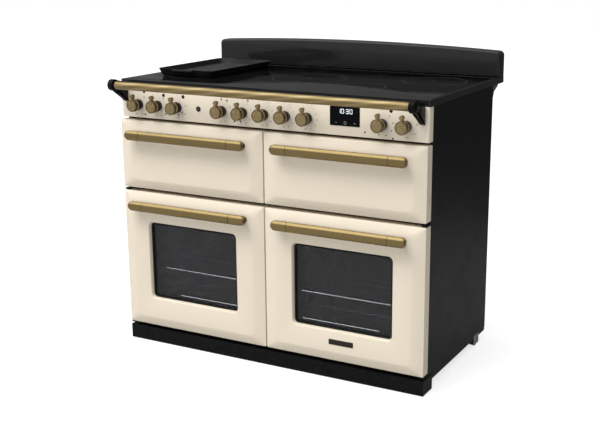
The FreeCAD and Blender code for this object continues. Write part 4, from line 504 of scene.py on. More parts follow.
# Painted reflection on the griddle's floor, and wear and a painted highlight along its folds.
blend_colour(tree, shader, use(tree, worn_and_lit, Amount=0.8).outputs["Mask"], IRON_BLACK, (0.07, 0.068, 0.065))
skin("tinted_pane", (0.46, 0.47, 0.50), (0.01, 0.03), 30.0, 0.02 * mm, 0.0, 0.4, Transmission_Weight=1.0,
     IOR=1.42)
skin("print_grey", (0.10, 0.10, 0.105), (0.25, 0.35), 1200.0, 0.01 * mm)
skin("print_black", (0.006, 0.005, 0.004), (0.5, 0.6), 1200.0, 0.01 * mm, Specular_IOR_Level=0.1)
skin("black_gloss_plastic", (0.008, 0.008, 0.008), (0.12, 0.20), 500.0, 0.02 * mm, 0.8 * mm,
     Specular_IOR_Level=0.4)
skin("clock_plate", (0.002, 0.002, 0.003), (0.12, 0.2), 500.0, 0.01 * mm, 0.8 * mm, Specular_IOR_Level=0.08)
skin("seal_rubber", (0.008, 0.008, 0.008), (0.55, 0.75), 900.0, 0.05 * mm, Specular_IOR_Level=0.2)
skin("lamp_lens", (0.05, 0.02, 0.012), (0.08, 0.16), 700.0, 0.03 * mm, Coat_Weight=0.6)
for name, colour in (("nylon", (0.07, 0.07, 0.072)), ("switch_plastic", (0.68, 0.67, 0.62)),
                     ("module_plastic", (0.50, 0.50, 0.50))):
    skin(name, colour, (0.4, 0.6), 400.0, 0.08 * mm, 0.8 * mm)
print(len(FINISHES), "finishes so far")

# %% [markdown]
# The plain metals are the parts a cook seldom sees: zinc sheet at the back, chromed wire shelves, dark
# elements, fans and copper windings. The front wire of the oven shelves glows where it is seen through
# glass, a painted glint, and the clock's figures glow on their own.

# %% Plain metals and lit figures
brushed("zinc_sheet", (0.46, 0.47, 0.48), (0.34, 0.35, 0.36), (0.34, 0.5), along=8.0, across=240.0,
        edge=1.0 * mm)
brushed("chrome_wire", (0.62, 0.62, 0.63), (0.50, 0.50, 0.51), (0.10, 0.2), along=60.0)
brushed("element_steel", (0.16, 0.145, 0.15), (0.08, 0.075, 0.085), (0.35, 0.5), along=120.0, across=300.0)
brushed("fan_steel", (0.50, 0.50, 0.51), (0.36, 0.36, 0.37), (0.25, 0.4), along=30.0, across=400.0,
        edge=0.8 * mm)
brushed("copper_winding", (0.62, 0.30, 0.15), (0.42, 0.17, 0.08), (0.3, 0.45), along=20.0, across=1600.0,
        depth=0.2 * mm)
brushed("dark_plate", (0.020, 0.012, 0.008), (0.011, 0.007, 0.005), (0.35, 0.5), metal=0.3, along=40.0,
        edge=0.6 * mm)
# The bars glow where they are seen through the panes: a painted glint.
WIRE_PAINTED_GLOW = 6.5
tree, shader, shown = brushed("wire_with_painted_glow", (0.64, 0.62, 0.59), (0.50, 0.48, 0.46), (0.12, 0.2),
                              along=60.0)
through = node_of(tree, "ShaderNodeLightPath").outputs["Is Transmission Ray"]
tree.links.new(maths(tree, "MULTIPLY", through, WIRE_PAINTED_GLOW), shader.inputs["Emission Strength"])
tree.links.new(shown, shader.inputs["Emission Color"])
for name, strength in (("clock_light", 1.5), ("clock_icon", 0.22)):
    tree, shader = finish(name, (0.05, 0.06, 0.07), (0.3, 0.4), Emission_Strength=strength)
    uneven = use(tree, peel, Scale=2000.0).outputs["Tone"]
    lit_colour = between(tree, uneven, (0.78, 0.88, 1.0), (0.92, 0.97, 1.0))
    tree.links.new(lit_colour, shader.inputs["Emission Color"])
print(len(FINISHES), "finishes in all")

# %% [markdown]
# ## Painting the engineering pieces
# Each engineering piece belongs to a slot in the record, such as brass or black enamel. Where one slot
# covers several real finishes, the piece's own name decides.

# %% Finishes for the frame's pieces
BY_SLOT = {
    "cream_enamel": "cream_painted_lighter", "black_enamel": "black_satin_enamel", "grey_enamel": "oven_enamel",
    "brass": "brushed_brass", "black_trim": "black_gloss_plastic", "ceramic_glass": "ceramic_glass",
    "door_glass": "tinted_pane", "plate": "dark_plate", "iron": "cast_iron", "zinc_sheet": "zinc_sheet",
    "wire_chrome": "chrome_wire", "heater_steel": "element_steel", "fan_steel": "fan_steel",
    "winding": "copper_winding", "switch_case": "switch_plastic", "roller_nylon": "nylon",
    "module_case": "module_plastic",
}
BY_PIECE = {
    "rail_brackets": "deep_black_enamel", "plinth": "deep_black_enamel", "shelf_ladders": "pan_enamel",
    "grill_pan": "pan_enamel", "backguard": "black_gloss_enamel", "hob_frame": "black_gloss_enamel",
}
SLOT_OF = {entry["node"]: entry["material_slot"] for entry in frame["record"]["subparts"]}
for node_name, shape in NODES.items():
    shape.data.materials.clear()
    shape.data.materials.append(FINISHES[BY_PIECE.get(node_name, BY_SLOT[SLOT_OF[node_name]])])
print("painted", len(NODES), "pieces")

# %% [markdown]
# ## Surfaces from formulas
# Most pieces here are a closed loop moved along a line while it changes: a door is a rounded rectangle that
# shrinks over its bevel, a handle is a small section that slides along the bar. The first helpers draw flat
# outlines: arcs, rounded rectangles, polygons with eased corners, and an outline moved inwards.

# %% Outlines
def around_once(sides):
    """The angles of a whole turn in equal steps; the last step back to the first angle is left out."""
    return np.arange(sides) * 2 * math.pi / sides


def arc_at(angles, radius=1.0, centre=(0.0, 0.0)):
    """A point of a circle for each angle a: centre + radius (cos a, sin a)."""
    return np.stack([np.cos(angles), np.sin(angles)], 1) * radius + np.array(centre)


def lay(flat_points, depth, plane):
    """(n, 2) points and a depth become (n, 3): "front" is x, z and depth y; "top" is x, y and depth z;
    "side" is y, z and depth x."""
    u, v = flat_points[:, 0], flat_points[:, 1]
    w = np.zeros(len(u)) + depth
    order = {"front": (u, w, v), "top": (u, v, w), "side": (w, u, v)}[plane]
    return np.stack(order, 1)


def box_loop(width, tall, corner, centre=(0.0, 0.0), arc=6, side=4):
    """A rounded rectangle: four quarter circles of radius corner joined by straight sides, all with the same
    number of points whatever the size, so that loops of different sizes can be joined."""
    corner = max(corner, 1e-5)
    turn = np.linspace(0.0, math.pi / 2, arc + 1)
    u, v = width / 2 - corner, tall / 2 - corner
    runs = [arc_at(turn + quarter * math.pi / 2, corner, (sx * u, sy * v))
            for quarter, (sx, sy) in enumerate(((1, 1), (-1, 1), (-1, -1), (1, -1)))]
    whole = []
    for run, after in zip(runs, runs[1:] + runs[:1]):
        share = np.linspace(0.0, 1.0, side + 2)[1:-1, None]
        whole += [run, run[-1] * (1 - share) + after[0] * share]
    return np.concatenate(whole) + np.array(centre)


def corners_eased(points, before, after, radius, arc):
    """Each corner becomes a curve: at share t it is (1-t)^2 A + 2t(1-t) corner + t^2 B, where A and B lie on
    the two edges at the given distance from the corner."""
    radius = np.broadcast_to(np.asarray(radius, float), (len(points),))[:, None]
    to_before, to_after = before - points, after - points
    a = points + to_before / np.linalg.norm(to_before, axis=1)[:, None] * radius
    b = points + to_after / np.linalg.norm(to_after, axis=1)[:, None] * radius
    t = np.linspace(0.0, 1.0, arc + 1)[None, :, None]
    curve = (1 - t) ** 2 * a[:, None] + 2 * t * (1 - t) * points[:, None] + t ** 2 * b[:, None]
    return curve.reshape(-1, points.shape[1])


def eased(points, radius, arc=4):
    """A polygon with every corner eased."""
    points = np.array(points, float)
    return corners_eased(points, np.roll(points, 1, 0), np.roll(points, -1, 0), radius, arc)


def eased_line(points, radius, arc=4):
    """An open line whose inner corners are eased; its points may have any number of coordinates."""
    points = np.array(points, float)
    inner = corners_eased(points[1:-1], points[:-2], points[2:], radius, arc)
    return np.concatenate([points[:1], inner, points[-1:]])


def inset(loop, amount):
    """The loop moved inwards by amount along the mean normal of the two edges that meet at each point."""
    edge = np.roll(loop, -1, 0) - loop
    edge /= np.maximum(np.linalg.norm(edge, axis=1), 1e-12)[:, None]
    normal = np.stack([-edge[:, 1], edge[:, 0]], 1)
    mean = normal + np.roll(normal, 1, 0)
    mean /= np.maximum((mean ** 2).sum(1) / 2, 0.4)[:, None]
    area = (loop[:, 0] * np.roll(loop[:, 1], -1) - np.roll(loop[:, 0], -1) * loop[:, 1]).sum()
    return loop + mean * amount * (1 if area > 0 else -1)


print("a rounded rectangle has", len(box_loop(1.0, 1.0, 0.1)), "points")

# %% [markdown]
# The next helpers turn outlines into surfaces: a stack of loops joined by faces, a plate with soft rims, a
# profile turned round an axis and a round wire bent along a line.

# %% Stacks, plates, turned parts and wires
def stacked(loops, cap_first=True, cap_last=True, ring=True):
    """Points and faces of loops joined one to the next: point j of loop i joins j+1 and the same two of the
    next loop."""
    count, length = len(loops), len(loops[0])
    index = np.arange(count * length).reshape(count, length)
    follow = np.roll(index, -1, 1)
    quads = np.stack([index[:-1], follow[:-1], follow[1:], index[1:]], -1)
    if not ring:
        quads = quads[:, :-1]
    faces = quads.reshape(-1, 4).tolist()
    if cap_first:
        faces.append(index[0][::-1].tolist())
    if cap_last:
        faces.append(index[-1].tolist())
    return np.concatenate(loops), faces


def together(*shapes):
    """Several (points, faces) as one, the face numbers shifted past the points before them."""
    points, faces, start = [], [], 0
    for some_points, some_faces in shapes:
        points.append(some_points)
        faces += [[v + start for v in face] for face in some_faces]
        start += len(some_points)
    return np.concatenate(points), faces


def slab(outline, near, far, edge, plane, steps=4):
    """A plate between two depths whose rims are quarter circles of radius edge: at angle a the outline is
    inset by edge (1 - sin a), edge (1 - cos a) behind the near depth, and likewise before the far one."""
    a = np.linspace(0.0, math.pi / 2, steps + 1)
    inwards, deeper = edge * (1 - np.sin(a)), edge * (1 - np.cos(a))
    sign = 1.0 if far > near else -1.0
    loops = [lay(inset(outline, i), near + sign * d, plane) for i, d in zip(inwards, deeper)]
    loops += [lay(inset(outline, i), far - sign * d, plane) for i, d in zip(inwards[::-1], deeper[::-1])]
    return stacked(loops)


def turned(profile, centre, axis, sides=40):
    """A profile of (radius, distance along the axis) turned round the axis through centre; ends closed."""
    circle = arc_at(around_once(sides))
    axis = np.array(axis, float)
    aside = np.cross(axis, (0.0, 0.0, 1.0) if abs(axis[2]) < 0.9 else (1.0, 0.0, 0.0))
    aside /= np.linalg.norm(aside)
    up = np.cross(axis, aside)
    spokes = circle[:, :1] * aside + circle[:, 1:] * up
    centre = np.array(centre)
    return stacked([centre + axis * along + spokes * max(radius, 1e-6) for radius, along in profile])


def tube(path, radius, closed=True, sides=10):
    """A round wire along a closed or open line of points: each ring stands square to the line there."""
    path = np.array(path, float)
    ahead = np.roll(path, -1, 0) - np.roll(path, 1, 0) if closed else np.gradient(path, axis=0)
    ahead /= np.linalg.norm(ahead, axis=1)[:, None]
    reference = (0.0, 1.0, 0.0) if np.abs(ahead[:, 1]).max() < 0.9 else (0.0, 0.0, 1.0)
    first = np.cross(ahead, reference)
    first /= np.linalg.norm(first, axis=1)[:, None]
    second = np.cross(ahead, first)
    circle = arc_at(around_once(sides), radius)
    rings = path[:, None] + circle[None, :, :1] * first[:, None] + circle[None, :, 1:] * second[:, None]
    loops = list(rings) + ([rings[0]] if closed else [])
    return stacked(loops, not closed, not closed)


print("a turned washer has", len(turned([(1, 0), (2, 0), (2, 1), (1, 1)], (0, 0, 0), (0, 0, 1))[1]), "faces")

# %% [markdown]
# The last helpers put a surface into Blender. Doubles are welded and the faces turned outwards, edges
# sharper than an angle stay crisp, and the piece gets its finish and its body.


def weld(mesh):
    """Joins points closer than a thousandth of a millimetre and turns all faces outwards."""
    shell = bmesh.new()
    shell.from_mesh(mesh)
    bmesh.ops.remove_doubles(shell, verts=shell.verts, dist=0.001 * mm)
    bmesh.ops.recalc_face_normals(shell, faces=shell.faces)
    shell.to_mesh(mesh)
    shell.free()


def piece(name, shape, paint, body, stands_for=(), wear_and_painted_light=None, wound=None, sharp=38.0, welded=True):
    """A named piece from points and faces; wear_and_painted_light is a value per point, of wear, patina and
    painted light and shade, and wound a UV pair per point.
    """
    points, faces = shape
    mesh = bpy.data.meshes.new(name)
    mesh.from_pydata(points.tolist(), [], faces)
    if wear_and_painted_light is not None:
        mark = mesh.attributes.new("wear_and_painted_light", "FLOAT", "POINT")
        mark.data.foreach_set("value", np.asarray(wear_and_painted_light, np.float32))
    if wound is not None:
        corner = np.zeros(len(mesh.loops), np.int32)
        mesh.loops.foreach_get("vertex_index", corner)
        mesh.uv_layers.new(name="spun").data.foreach_set("uv", wound[corner].ravel().astype(np.float32))
    if welded:
        weld(mesh)
    mesh.shade_smooth()
    mesh.set_sharp_from_angle(angle=math.radians(sharp))
    mesh.materials.append(FINISHES[paint])
    item = bpy.data.objects.new(name, mesh)
    scene.collection.objects.link(item)
    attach(item, body)
    if stands_for:
        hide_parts(*stands_for)
    print(f"{name}: {len(mesh.vertices)} points, {len(mesh.polygons)} faces")
    return item


def span_of(node_name):
    """A node's lowest corner, highest corner and middle, as arrays."""
    low, high = (np.array(corner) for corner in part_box(node_name))
    return low, high, (low + high) / 2


print("the hob glass spans", np.round(span_of("hob_glass")[1] - span_of("hob_glass")[0], 3), "metres")

# %% [markdown]
# ## Pressed door fronts
# Each front is one steel sheet pressed in a tool: a flat back rim, a small outer edge, a wide bevel that
# rises ten millimetres to the flat field, and round the oven window a rolled mouth that slopes in to the
# glass. In section that is a line of corner points; each corner is eased, and every point of the eased line
# becomes a loop round the door. Widths, corner radius, depth and the loop's middle all change together
# along the line.

# %% Pressed fronts
SHEET = 1.2 * mm
BEVEL_SIDE, BEVEL_END, BEVEL_RISE = 38 * mm, 30 * mm, 10 * mm
FIELD_CORNER = 24 * mm
MOUTH_WIDE, MOUTH_TALL, MOUTH_CORNER = 344 * mm, 266.4 * mm, 17 * mm
MOUTH_SLOPE, MOUTH_DEEP, MOUTH_RISE = 4 * mm, 12 * mm, 98.8 * mm


def loops_along(line, plane, arc=6, side=4):
    """One rounded rectangle per row of (width, tall, corner, middle u, middle v, depth)."""
    return [lay(box_loop(w, t, c, (u, v), arc, side), depth, plane) for w, t, c, u, v, depth in line]


def turns(line):
    """How sharply the section turns at each row, 0 on a flat and 1 on a tight edge."""
    across, along = np.gradient(line[:, 0] / 2), np.gradient(line[:, 5])
    swing = np.abs(np.gradient(np.unwrap(np.arctan2(along, across))))
    return np.clip(swing / 0.5, 0.0, 1.0)


def mouth_middle(low):
    """The height of a window's middle above the lowest corner of its door front."""
    return low[2] + MOUTH_RISE + MOUTH_TALL / 2


def pressed_front(name, node_name, body, window):
    """A pressed sheet, as loops along its section. The outer rows run from the back rim over the bevel to the
    field and, round a window, into the mouth; the inner rows are the same a sheet's thickness further in or
    behind. Both lines are eased and joined at the rim. A plain front is closed by caps."""
    low, high, mid = span_of(node_name)
    wide, tall, face, back = high[0] - low[0], high[2] - low[2], low[1], high[1]
    u, v, shoulder = mid[0], mid[2], face + BEVEL_RISE
    outer = [(wide, tall, 3 * mm, u, v, back), (wide, tall, 3 * mm, u, v, shoulder),
             (wide - 2 * BEVEL_SIDE, tall - 2 * BEVEL_END, FIELD_CORNER, u, v, face)]
    outer_radii, inner_radii = [2.2 * mm, 11 * mm], [1.2 * mm, 9 * mm]
    if window:
        v_mouth = mouth_middle(low)
        outer += [(MOUTH_WIDE, MOUTH_TALL, MOUTH_CORNER, u, v_mouth, face),
                  (MOUTH_WIDE - 2 * MOUTH_SLOPE, MOUTH_TALL - 2 * MOUTH_SLOPE, MOUTH_CORNER - MOUTH_SLOPE,
                   u, v_mouth, face + MOUTH_DEEP)]
        outer_radii, inner_radii = outer_radii + [4.5 * mm], inner_radii + [3 * mm]
    else:
        outer.append((outer[2][0] - 30 * mm, outer[2][1] - 30 * mm, 14 * mm, u, v, face))
    inner = [(wide - 2 * SHEET, tall - 2 * SHEET, 2 * mm, u, v, depth) for depth in (back, shoulder + SHEET)]
    inner += [(*row[:5], row[5] + SHEET) for row in outer[2:]]
    outer_line, inner_line = eased_line(outer, outer_radii), eased_line(inner, inner_radii)
    line = np.concatenate([inner_line[::-1], outer_line, inner_line[-1:] if window else inner_line[:0]])
    loops = loops_along(line, "front")
    # Edges of the bevel and the mouth, painted lighter: wear and a painted highlight.
    wear_and_painted_light = np.repeat(turns(line) * (line[:, 5] < shoulder + 3 * mm), len(loops[0]))
    shape = stacked(loops, not window, not window)
    return piece(name, shape, "cream_enamel", body, (node_name,), wear_and_painted_light)


pressed_front("left_oven_front", "left_door_skin", "left_door", True)
pressed_front("right_oven_front", "right_door_skin", "right_door", True)
grill_front = pressed_front("grill_front", "grill_door_skin", "grill_door", False)
pressed_front("drawer_panel", "drawer_front", "drawer", False)

# %% [markdown]
# The grill door drops on two fixed arms, so its lower wall has a narrow slot round each. Two slim blocks
# are taken out of the finished sheet, and the result is kept as its mesh.

# %% Slots for the grill hinges
SLOT_WIDE, SLOT_LONG, SLOT_TALL, SLOT_FROM_END = 7.1 * mm, 35.4 * mm, 13.5 * mm, 50 * mm
low, high, mid = span_of("grill_door_skin")
blocks = []
for x in (low[0] + SLOT_FROM_END, high[0] - SLOT_FROM_END):
    outline = box_loop(SLOT_WIDE, SLOT_LONG, 0.2 * mm, (x, high[1] - 16.1 * mm), 1, 1)
    blocks.append(slab(outline, low[2] - 2 * mm, low[2] + SLOT_TALL, 0.1 * mm, "top", 1))
points, faces = together(*blocks)
block_mesh = bpy.data.meshes.new("slot_blocks")
block_mesh.from_pydata(points.tolist(), [], faces)
weld(block_mesh)
slot_blocks = bpy.data.objects.new("slot_blocks", block_mesh)
scene.collection.objects.link(slot_blocks)
cut_out = grill_front.modifiers.new("slots", "BOOLEAN")
cut_out.operation, cut_out.solver, cut_out.object = "DIFFERENCE", "EXACT", slot_blocks
bpy.context.view_layer.update()
slotted = bpy.data.meshes.new_from_object(grill_front.evaluated_get(bpy.context.evaluated_depsgraph_get()))
grill_front.modifiers.clear()
grill_front.data = slotted
bpy.data.objects.remove(slot_blocks)
bpy.data.meshes.remove(block_mesh)
print("slotted grill front:", len(slotted.polygons), "faces")

# %% [markdown]
# A soft black seal sits between each window's rolled sheet and its pane, and another runs round the mouth
# of each cavity behind the doors. A seal is a round cord bent into a rounded rectangle.

# %% Seals
def seal(name, size, corner, middle, depth, radius, body):
    """A cord of that radius round a rounded rectangle of (width, height) about (x, z), at one depth."""
    path = lay(box_loop(*size, corner, middle, 8, 3), depth, "front")
    return piece(name, tube(path, radius), "seal_rubber", body, sharp=60)


for side_name in ("left", "right"):
    low, high, mid = span_of(side_name + "_door_skin")
    seal(side_name + "_window_seal", (MOUTH_WIDE - 14 * mm, MOUTH_TALL - 14 * mm), 10 * mm,
         (mid[0], mouth_middle(low)), low[1] + 12.2 * mm, 3.1 * mm, side_name + "_door")
frame_face = span_of("front_frame")[0][1]
for cavity in ("left_oven_liner", "right_oven_liner", "grill_liner"):
    low, high, mid = span_of(cavity)
    seal(cavity.replace("liner", "seal"), (high[0] - low[0] - 18 * mm, high[2] - low[2] - 18 * mm), 22 * mm,
         (mid[0], mid[2]), frame_face - 1.3 * mm, 1.4 * mm, "carcass")

# %% [markdown]
# Two polished bars cross each oven from ladder to ladder near the front. Through the tinted panes they show
# as two thin bright lines, painted glints: their finish glows where it is seen through glass. The upper bar
# reaches further towards the cooker's side than the lower one.

# %% Bars of the oven ladders
BAR_RADIUS, BAR_IN = 0.75 * mm, 172 * mm
BARS = ((62.5 * mm, -98 * mm), (154 * mm, -152 * mm))
bars = []
for cavity, way in (("left_oven_liner", 1), ("right_oven_liner", -1)):
    low, high, mid = span_of(cavity)
    for above_floor, bar_out in BARS:
        run = np.linspace(bar_out, BAR_IN, 9) * way
        path = np.stack([mid[0] + run, np.full(9, low[1] + 21.05 * mm), np.full(9, low[2] + above_floor)], 1)
        bars.append(tube(path, BAR_RADIUS, False, 8))
# A painted glint: their finish glows through the panes.
piece("ladder_bars", together(*bars), "wire_with_painted_glow", "carcass", sharp=60)

# %% [markdown]
# ## Handles
# A handle is a heavy bar with a flat front, bevelled along its long edges and rounded at its ends. Its end
# pieces are separate castings, so a fine seam shows 56 mm from each end. The surface is one six-cornered
# section slid along the bar: at station x its height follows a quarter circle near the ends, and it shrinks
# a little in the seam. Two turned posts with a small foot carry it. Brown patina gathers in the seams and the
# very ends are darker; under the bar, behind it, on the posts and a little on its flat front the same brown
# is painted shade.

# %% Handles
BAR_TALL, BAR_DEEP, BAR_CORNER = 31 * mm, 16 * mm, 11.5 * mm
SEAM_FROM_END, SEAM_DEEP = 56 * mm, 1.2 * mm
SECTION = eased([(0, -0.5), (0, 0.5), (0.62, 0.5), (1.0, 0.27), (1.0, -0.27), (0.62, -0.5)],
                [0.04, 0.04, 0.05, 0.05, 0.05, 0.05], 3)
POST = np.array([(11, 0), (11, 2), (10, 3), (9, 3.4), (9, 26)]) * mm
POST_FROM_END, POST_LOWER = 21 * mm, 4 * mm


def mirrored(half_row):
    """A row of numbers followed by itself the other way round, its last number not repeated."""
    return np.concatenate([half_row, half_row[-2::-1]])


def section_patina(section):
    """How much painted shade, in the patina's brown, each point of the section gets: under the bar, behind it
    and a little on its flat front.
    """
    depth, rise = section[:, 0], section[:, 1]
    under = np.clip(-0.1 - rise, 0, 0.4) * np.where(depth > 0.5, 0.5, 2.0)
    return under + (depth < 0.1) * 0.5 + (depth > 0.93) * 0.14


def bar_handle(name, node_name, body):
    """The section slid along x. Where an end is nearer than the corner's radius r, by s, the height drops by
    2 (r - sqrt(r^2 - s^2)) and the depth by 3 mm (s / r)^3; in the seam all four sides draw in."""
    low, high, mid = span_of(node_name)
    long, face, door = high[0] - low[0], low[1], high[1]
    bend = BAR_CORNER * (1 - np.cos(np.linspace(0.12, math.pi / 2, 9)))
    seam = SEAM_FROM_END + np.array([-0.7, -0.35, 0.35, 0.7]) * mm
    half_run = np.concatenate([bend, seam, np.linspace(80 * mm, long / 2, 5)])
    run = np.concatenate([half_run, long - half_run[-2::-1]])
    from_end = mirrored(half_run)
    squeeze = mirrored(np.concatenate([np.zeros(9), [0, SEAM_DEEP, SEAM_DEEP, 0], np.zeros(5)]))
    short = np.maximum(BAR_CORNER - from_end, 0.0)
    drop = 2 * (BAR_CORNER - np.sqrt(np.maximum(BAR_CORNER ** 2 - short ** 2, 0.0)))
    tall_here = BAR_TALL - drop - 2 * squeeze
    deep_here = BAR_DEEP - 2 * squeeze - 3 * mm * (short / BAR_CORNER) ** 3
    loops = [np.stack([np.full(len(SECTION), low[0] + x), face + BAR_DEEP - s - SECTION[:, 0] * deep,
                       mid[2] + SECTION[:, 1] * tall], 1)
             for x, tall, deep, s in zip(run, tall_here, deep_here, squeeze)]
    posts = [turned(POST, (x, door, mid[2] - POST_LOWER), (0, -1, 0), 32)
             for x in (low[0] + POST_FROM_END, high[0] - POST_FROM_END)]
    at_end = np.clip(1 - from_end / (2.2 * mm), 0, 1) * 0.8
    along = (squeeze > 0) * 1.0 + at_end
    # Patina in the seams and darker very ends, plus the section's painted shade.
    patina_and_shade_share = np.clip(along[:, None] + section_patina(SECTION)[None], 0, 1).ravel()
    shape = together(stacked(loops), *posts)
    # The posts behind the bar get painted shade in the same brown.
    wear_and_painted_light = np.concatenate([patina_and_shade_share, np.full(len(shape[0]) - len(patina_and_shade_share), 0.55)])
    return piece(name, shape, "brushed_brass", body, (node_name,), wear_and_painted_light, sharp=26)


for node_name, body in (("left_door_handle", "left_door"), ("right_door_handle", "right_door"),
                        ("grill_door_handle", "grill_door"), ("drawer_handle", "drawer")):
    bar_handle(node_name.replace("handle", "grip"), node_name, body)

# %% [markdown]
# ## Handrail and brackets
# The rail is a turned tube with a rounded rim and a shallow groove at each end. Its surface is the plain
# formula of a cylinder, with the place along it and the share of a turn kept as a UV map, so that the spun
# polish can wind round it.

# %% Rail
low, high, mid = span_of("handrail")
rail_end, rail_radius, rail_y, rail_z = high[0], (high[2] - low[2]) / 2, mid[1], mid[2]
END_STATIONS = np.array([0, 0.6, 1.5, 6, 6.3, 6.9, 7.2]) * mm
END_RADII = np.array([-1.6, -0.5, 0, 0, -0.5, -0.5, 0]) * mm
half_run = np.concatenate([END_STATIONS, np.linspace(20 * mm, rail_end, 12)])
stations = np.concatenate([half_run, 2 * rail_end - half_run[-2::-1]]) - rail_end
radii = mirrored(rail_radius + np.concatenate([END_RADII, np.zeros(12)]))
share = np.linspace(0.0, 1.0, 49)
circle = arc_at(share * 2 * math.pi)
loops = [lay(circle * r + np.array((rail_y, rail_z)), x, "side") for x, r in zip(stations, radii)]
wound = np.concatenate([np.stack([np.full(len(share), x), share], 1) for x in stations])
piece("brass_rail", stacked(loops, ring=False), "spun_brass", "carcass", ("handrail",), wound=wound,
      sharp=30)

# %% [markdown]
# Each end of the rail sits in a black sleeve, and a curved arm stands the sleeve off the fascia. The sleeve
# is a turned profile; the arm is a plate with an eased outline and soft rims.

# %% Sleeves and arms
SLEEVE = np.array([(16.9, 0), (18.4, 1.2), (18.4, 17), (17.6, 19), (15.5, 20)]) * mm
ARM_INNER, ARM_OUTER = 515.5 * mm, 532.5 * mm
arm_outline = eased([(-358, 876), (-346, 867), (-322, 861), (-286, 825), (-277.75, 825), (-277.75, 874),
                     (-286, 888), (-340, 901)], [5, 8, 18, 7, 4, 3, 10, 12], 7) * mm
shapes = []
for sign in (-1, 1):
    shapes.append(turned(SLEEVE, (sign * rail_end, rail_y, rail_z), (sign, 0, 0), 48))
    shapes.append(slab(arm_outline, sign * ARM_INNER, sign * ARM_OUTER, 3 * mm, "side"))
piece("rail_arms", together(*shapes), "deep_black_enamel", "carcass", ("rail_brackets",),
      sharp=40)

# %% [markdown]
# ## Fascia and controls
# The fascia is a folded cream panel with rounded ends. Every knob is a brass disc with a raised pointer on
# a black collar. Discs and collars are profiles turned round the shaft, and a collar narrows towards the
# fascia. The pointer is a small slab: a round head on a neck that widens over the disc.

# %% Fascia
low, high, mid = span_of("fascia")
fascia_face = low[1]
plan = eased([(low[0], high[1]), (high[0], high[1]), (high[0], low[1]), (low[0], low[1])],
             np.array([1, 1, 8, 8]) * mm, 10)
piece("fascia_panel", slab(plan, low[2], high[2], 1.2 * mm, "top"), "cream_painted_lighter", "carcass",
      ("fascia",))

# %% [markdown]
# A profile is a list of radii and distances from the knob's front, in millimetres. The disc has a raised
# rim, a groove round its edge and a hollow back with a shaft; a number for each row says how brown its
# brass is: patina in the groove round its face, and painted shade on its rounded edge, its side and its
# back. The pointer is painted browner towards its back, as painted shade.

# %% Knobs and collars
DISC = np.array([(0, 0.9), (15.4, 0.9), (16.2, 1.3), (16.8, 1.4), (17.6, 0.6), (18.6, 0.5), (19.4, 0.9),
                 (19.9, 1.7), (20, 2.6), (20, 7), (18.9, 8.2), (18.9, 10.2), (20, 11.4), (20, 16.4),
                 (19.6, 17), (19.2, 17), (19.2, 12.2), (3.2, 12.2), (3.2, 40)]) * mm
DISC_PATINA_AND_SHADE = [0, 0, 0.6, 0.6, 0.3, 0.3, 0.8, 1, 1, 1, 0.9, 0.4, 0.3, 0.35, 0.9, 1, 1, 1, 1]
COLLAR = np.array([(5.2, 0.3), (16.5, 0.3), (18.2, 0.9), (19, 2.2), (19, 12), (18.6, 18), (17.6, 24),
                   (16.4, 27), (16, 28), (16, 30), (5.2, 30)]) * mm
KNOB_SIDES, DISC_RADIUS, COLLAR_LONG = 56, 20 * mm, 30.3 * mm
HEAD_RADIUS, HEAD_RISE = 6.1, 29.9
NECK = [(-3.4, 22), (-4.2, 17), (-5.5, 6), (5.5, 6), (4.2, 17), (3.4, 22)]
head = arc_at(np.linspace(-0.3 * math.pi, 1.3 * math.pi, 25), HEAD_RADIUS, (0, HEAD_RISE))
POINTER = np.concatenate([head, NECK]) * mm
POINTER_DEEP, POINTER_EDGE = 15 * mm, 0.9 * mm
POINTER_PAINTED_SHADE = [0, 0, 0.1, 0.3, 0.75, 0.9, 1, 1]
# Patina in the disc's groove, and painted shade on the disc's side and back and along the pointer.
patina_and_shade_share = np.concatenate([np.repeat(DISC_PATINA_AND_SHADE, KNOB_SIDES), np.repeat(POINTER_PAINTED_SHADE, len(POINTER))])
KNOB_NAMES = [name for name in NODES if name.endswith("_knob")]
KNOB_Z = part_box("centre_zone_knob")[0].z + DISC_RADIUS
collars = []
for name in KNOB_NAMES:
    low, high, mid = span_of(name)
    x, face = mid[0], low[1]
    disc = turned(DISC, (x, face, KNOB_Z), (0, 1, 0), KNOB_SIDES)
    pointer = slab(POINTER + np.array((x, KNOB_Z)), face, face + POINTER_DEEP, POINTER_EDGE, "front", 3)
    dial = together(disc, pointer)
    piece(name.replace("_knob", "_dial"), dial, "knob_brass", name, (name,), patina_and_shade_share, sharp=32)
    collars.append(turned(COLLAR, (x, fascia_face - COLLAR_LONG, KNOB_Z), (0, 1, 0), KNOB_SIDES))
piece("knob_collars", together(*collars), "deep_black_enamel", "carcass", ("knob_bezels",),
      sharp=32)

# %% [markdown]
# The clock is a black glass plate with lit figures. Each figure is made of up to seven straight strokes, as
# on any such display, and two dots part the hours from the minutes. Below them are a small ring and two
# marks for its touch fields. Figures and marks are flat faces laid just in front of the plate.

# %% Clock
FIGURE_SIZE = np.array((7.6, 6.2)) * mm
STROKES = {"a": ((0, 2), (1, 2)), "b": ((1, 2), (1, 1)), "c": ((1, 1), (1, 0)), "d": ((0, 0), (1, 0)),
           "e": ((0, 0), (0, 1)), "f": ((0, 1), (0, 2)), "g": ((0, 1), (1, 1))}
CLOCK_FIGURES = ((-19.5, "bc"), (-8.5, "abcdef"), (7, "abcdg"), (19.5, "abcdef"))


def dot(at, radius, depth, sides=12):
    """A flat disc of one face: points at equal angles on a circle."""
    return lay(arc_at(around_once(sides), radius, at), depth, "front"), [list(range(sides))]


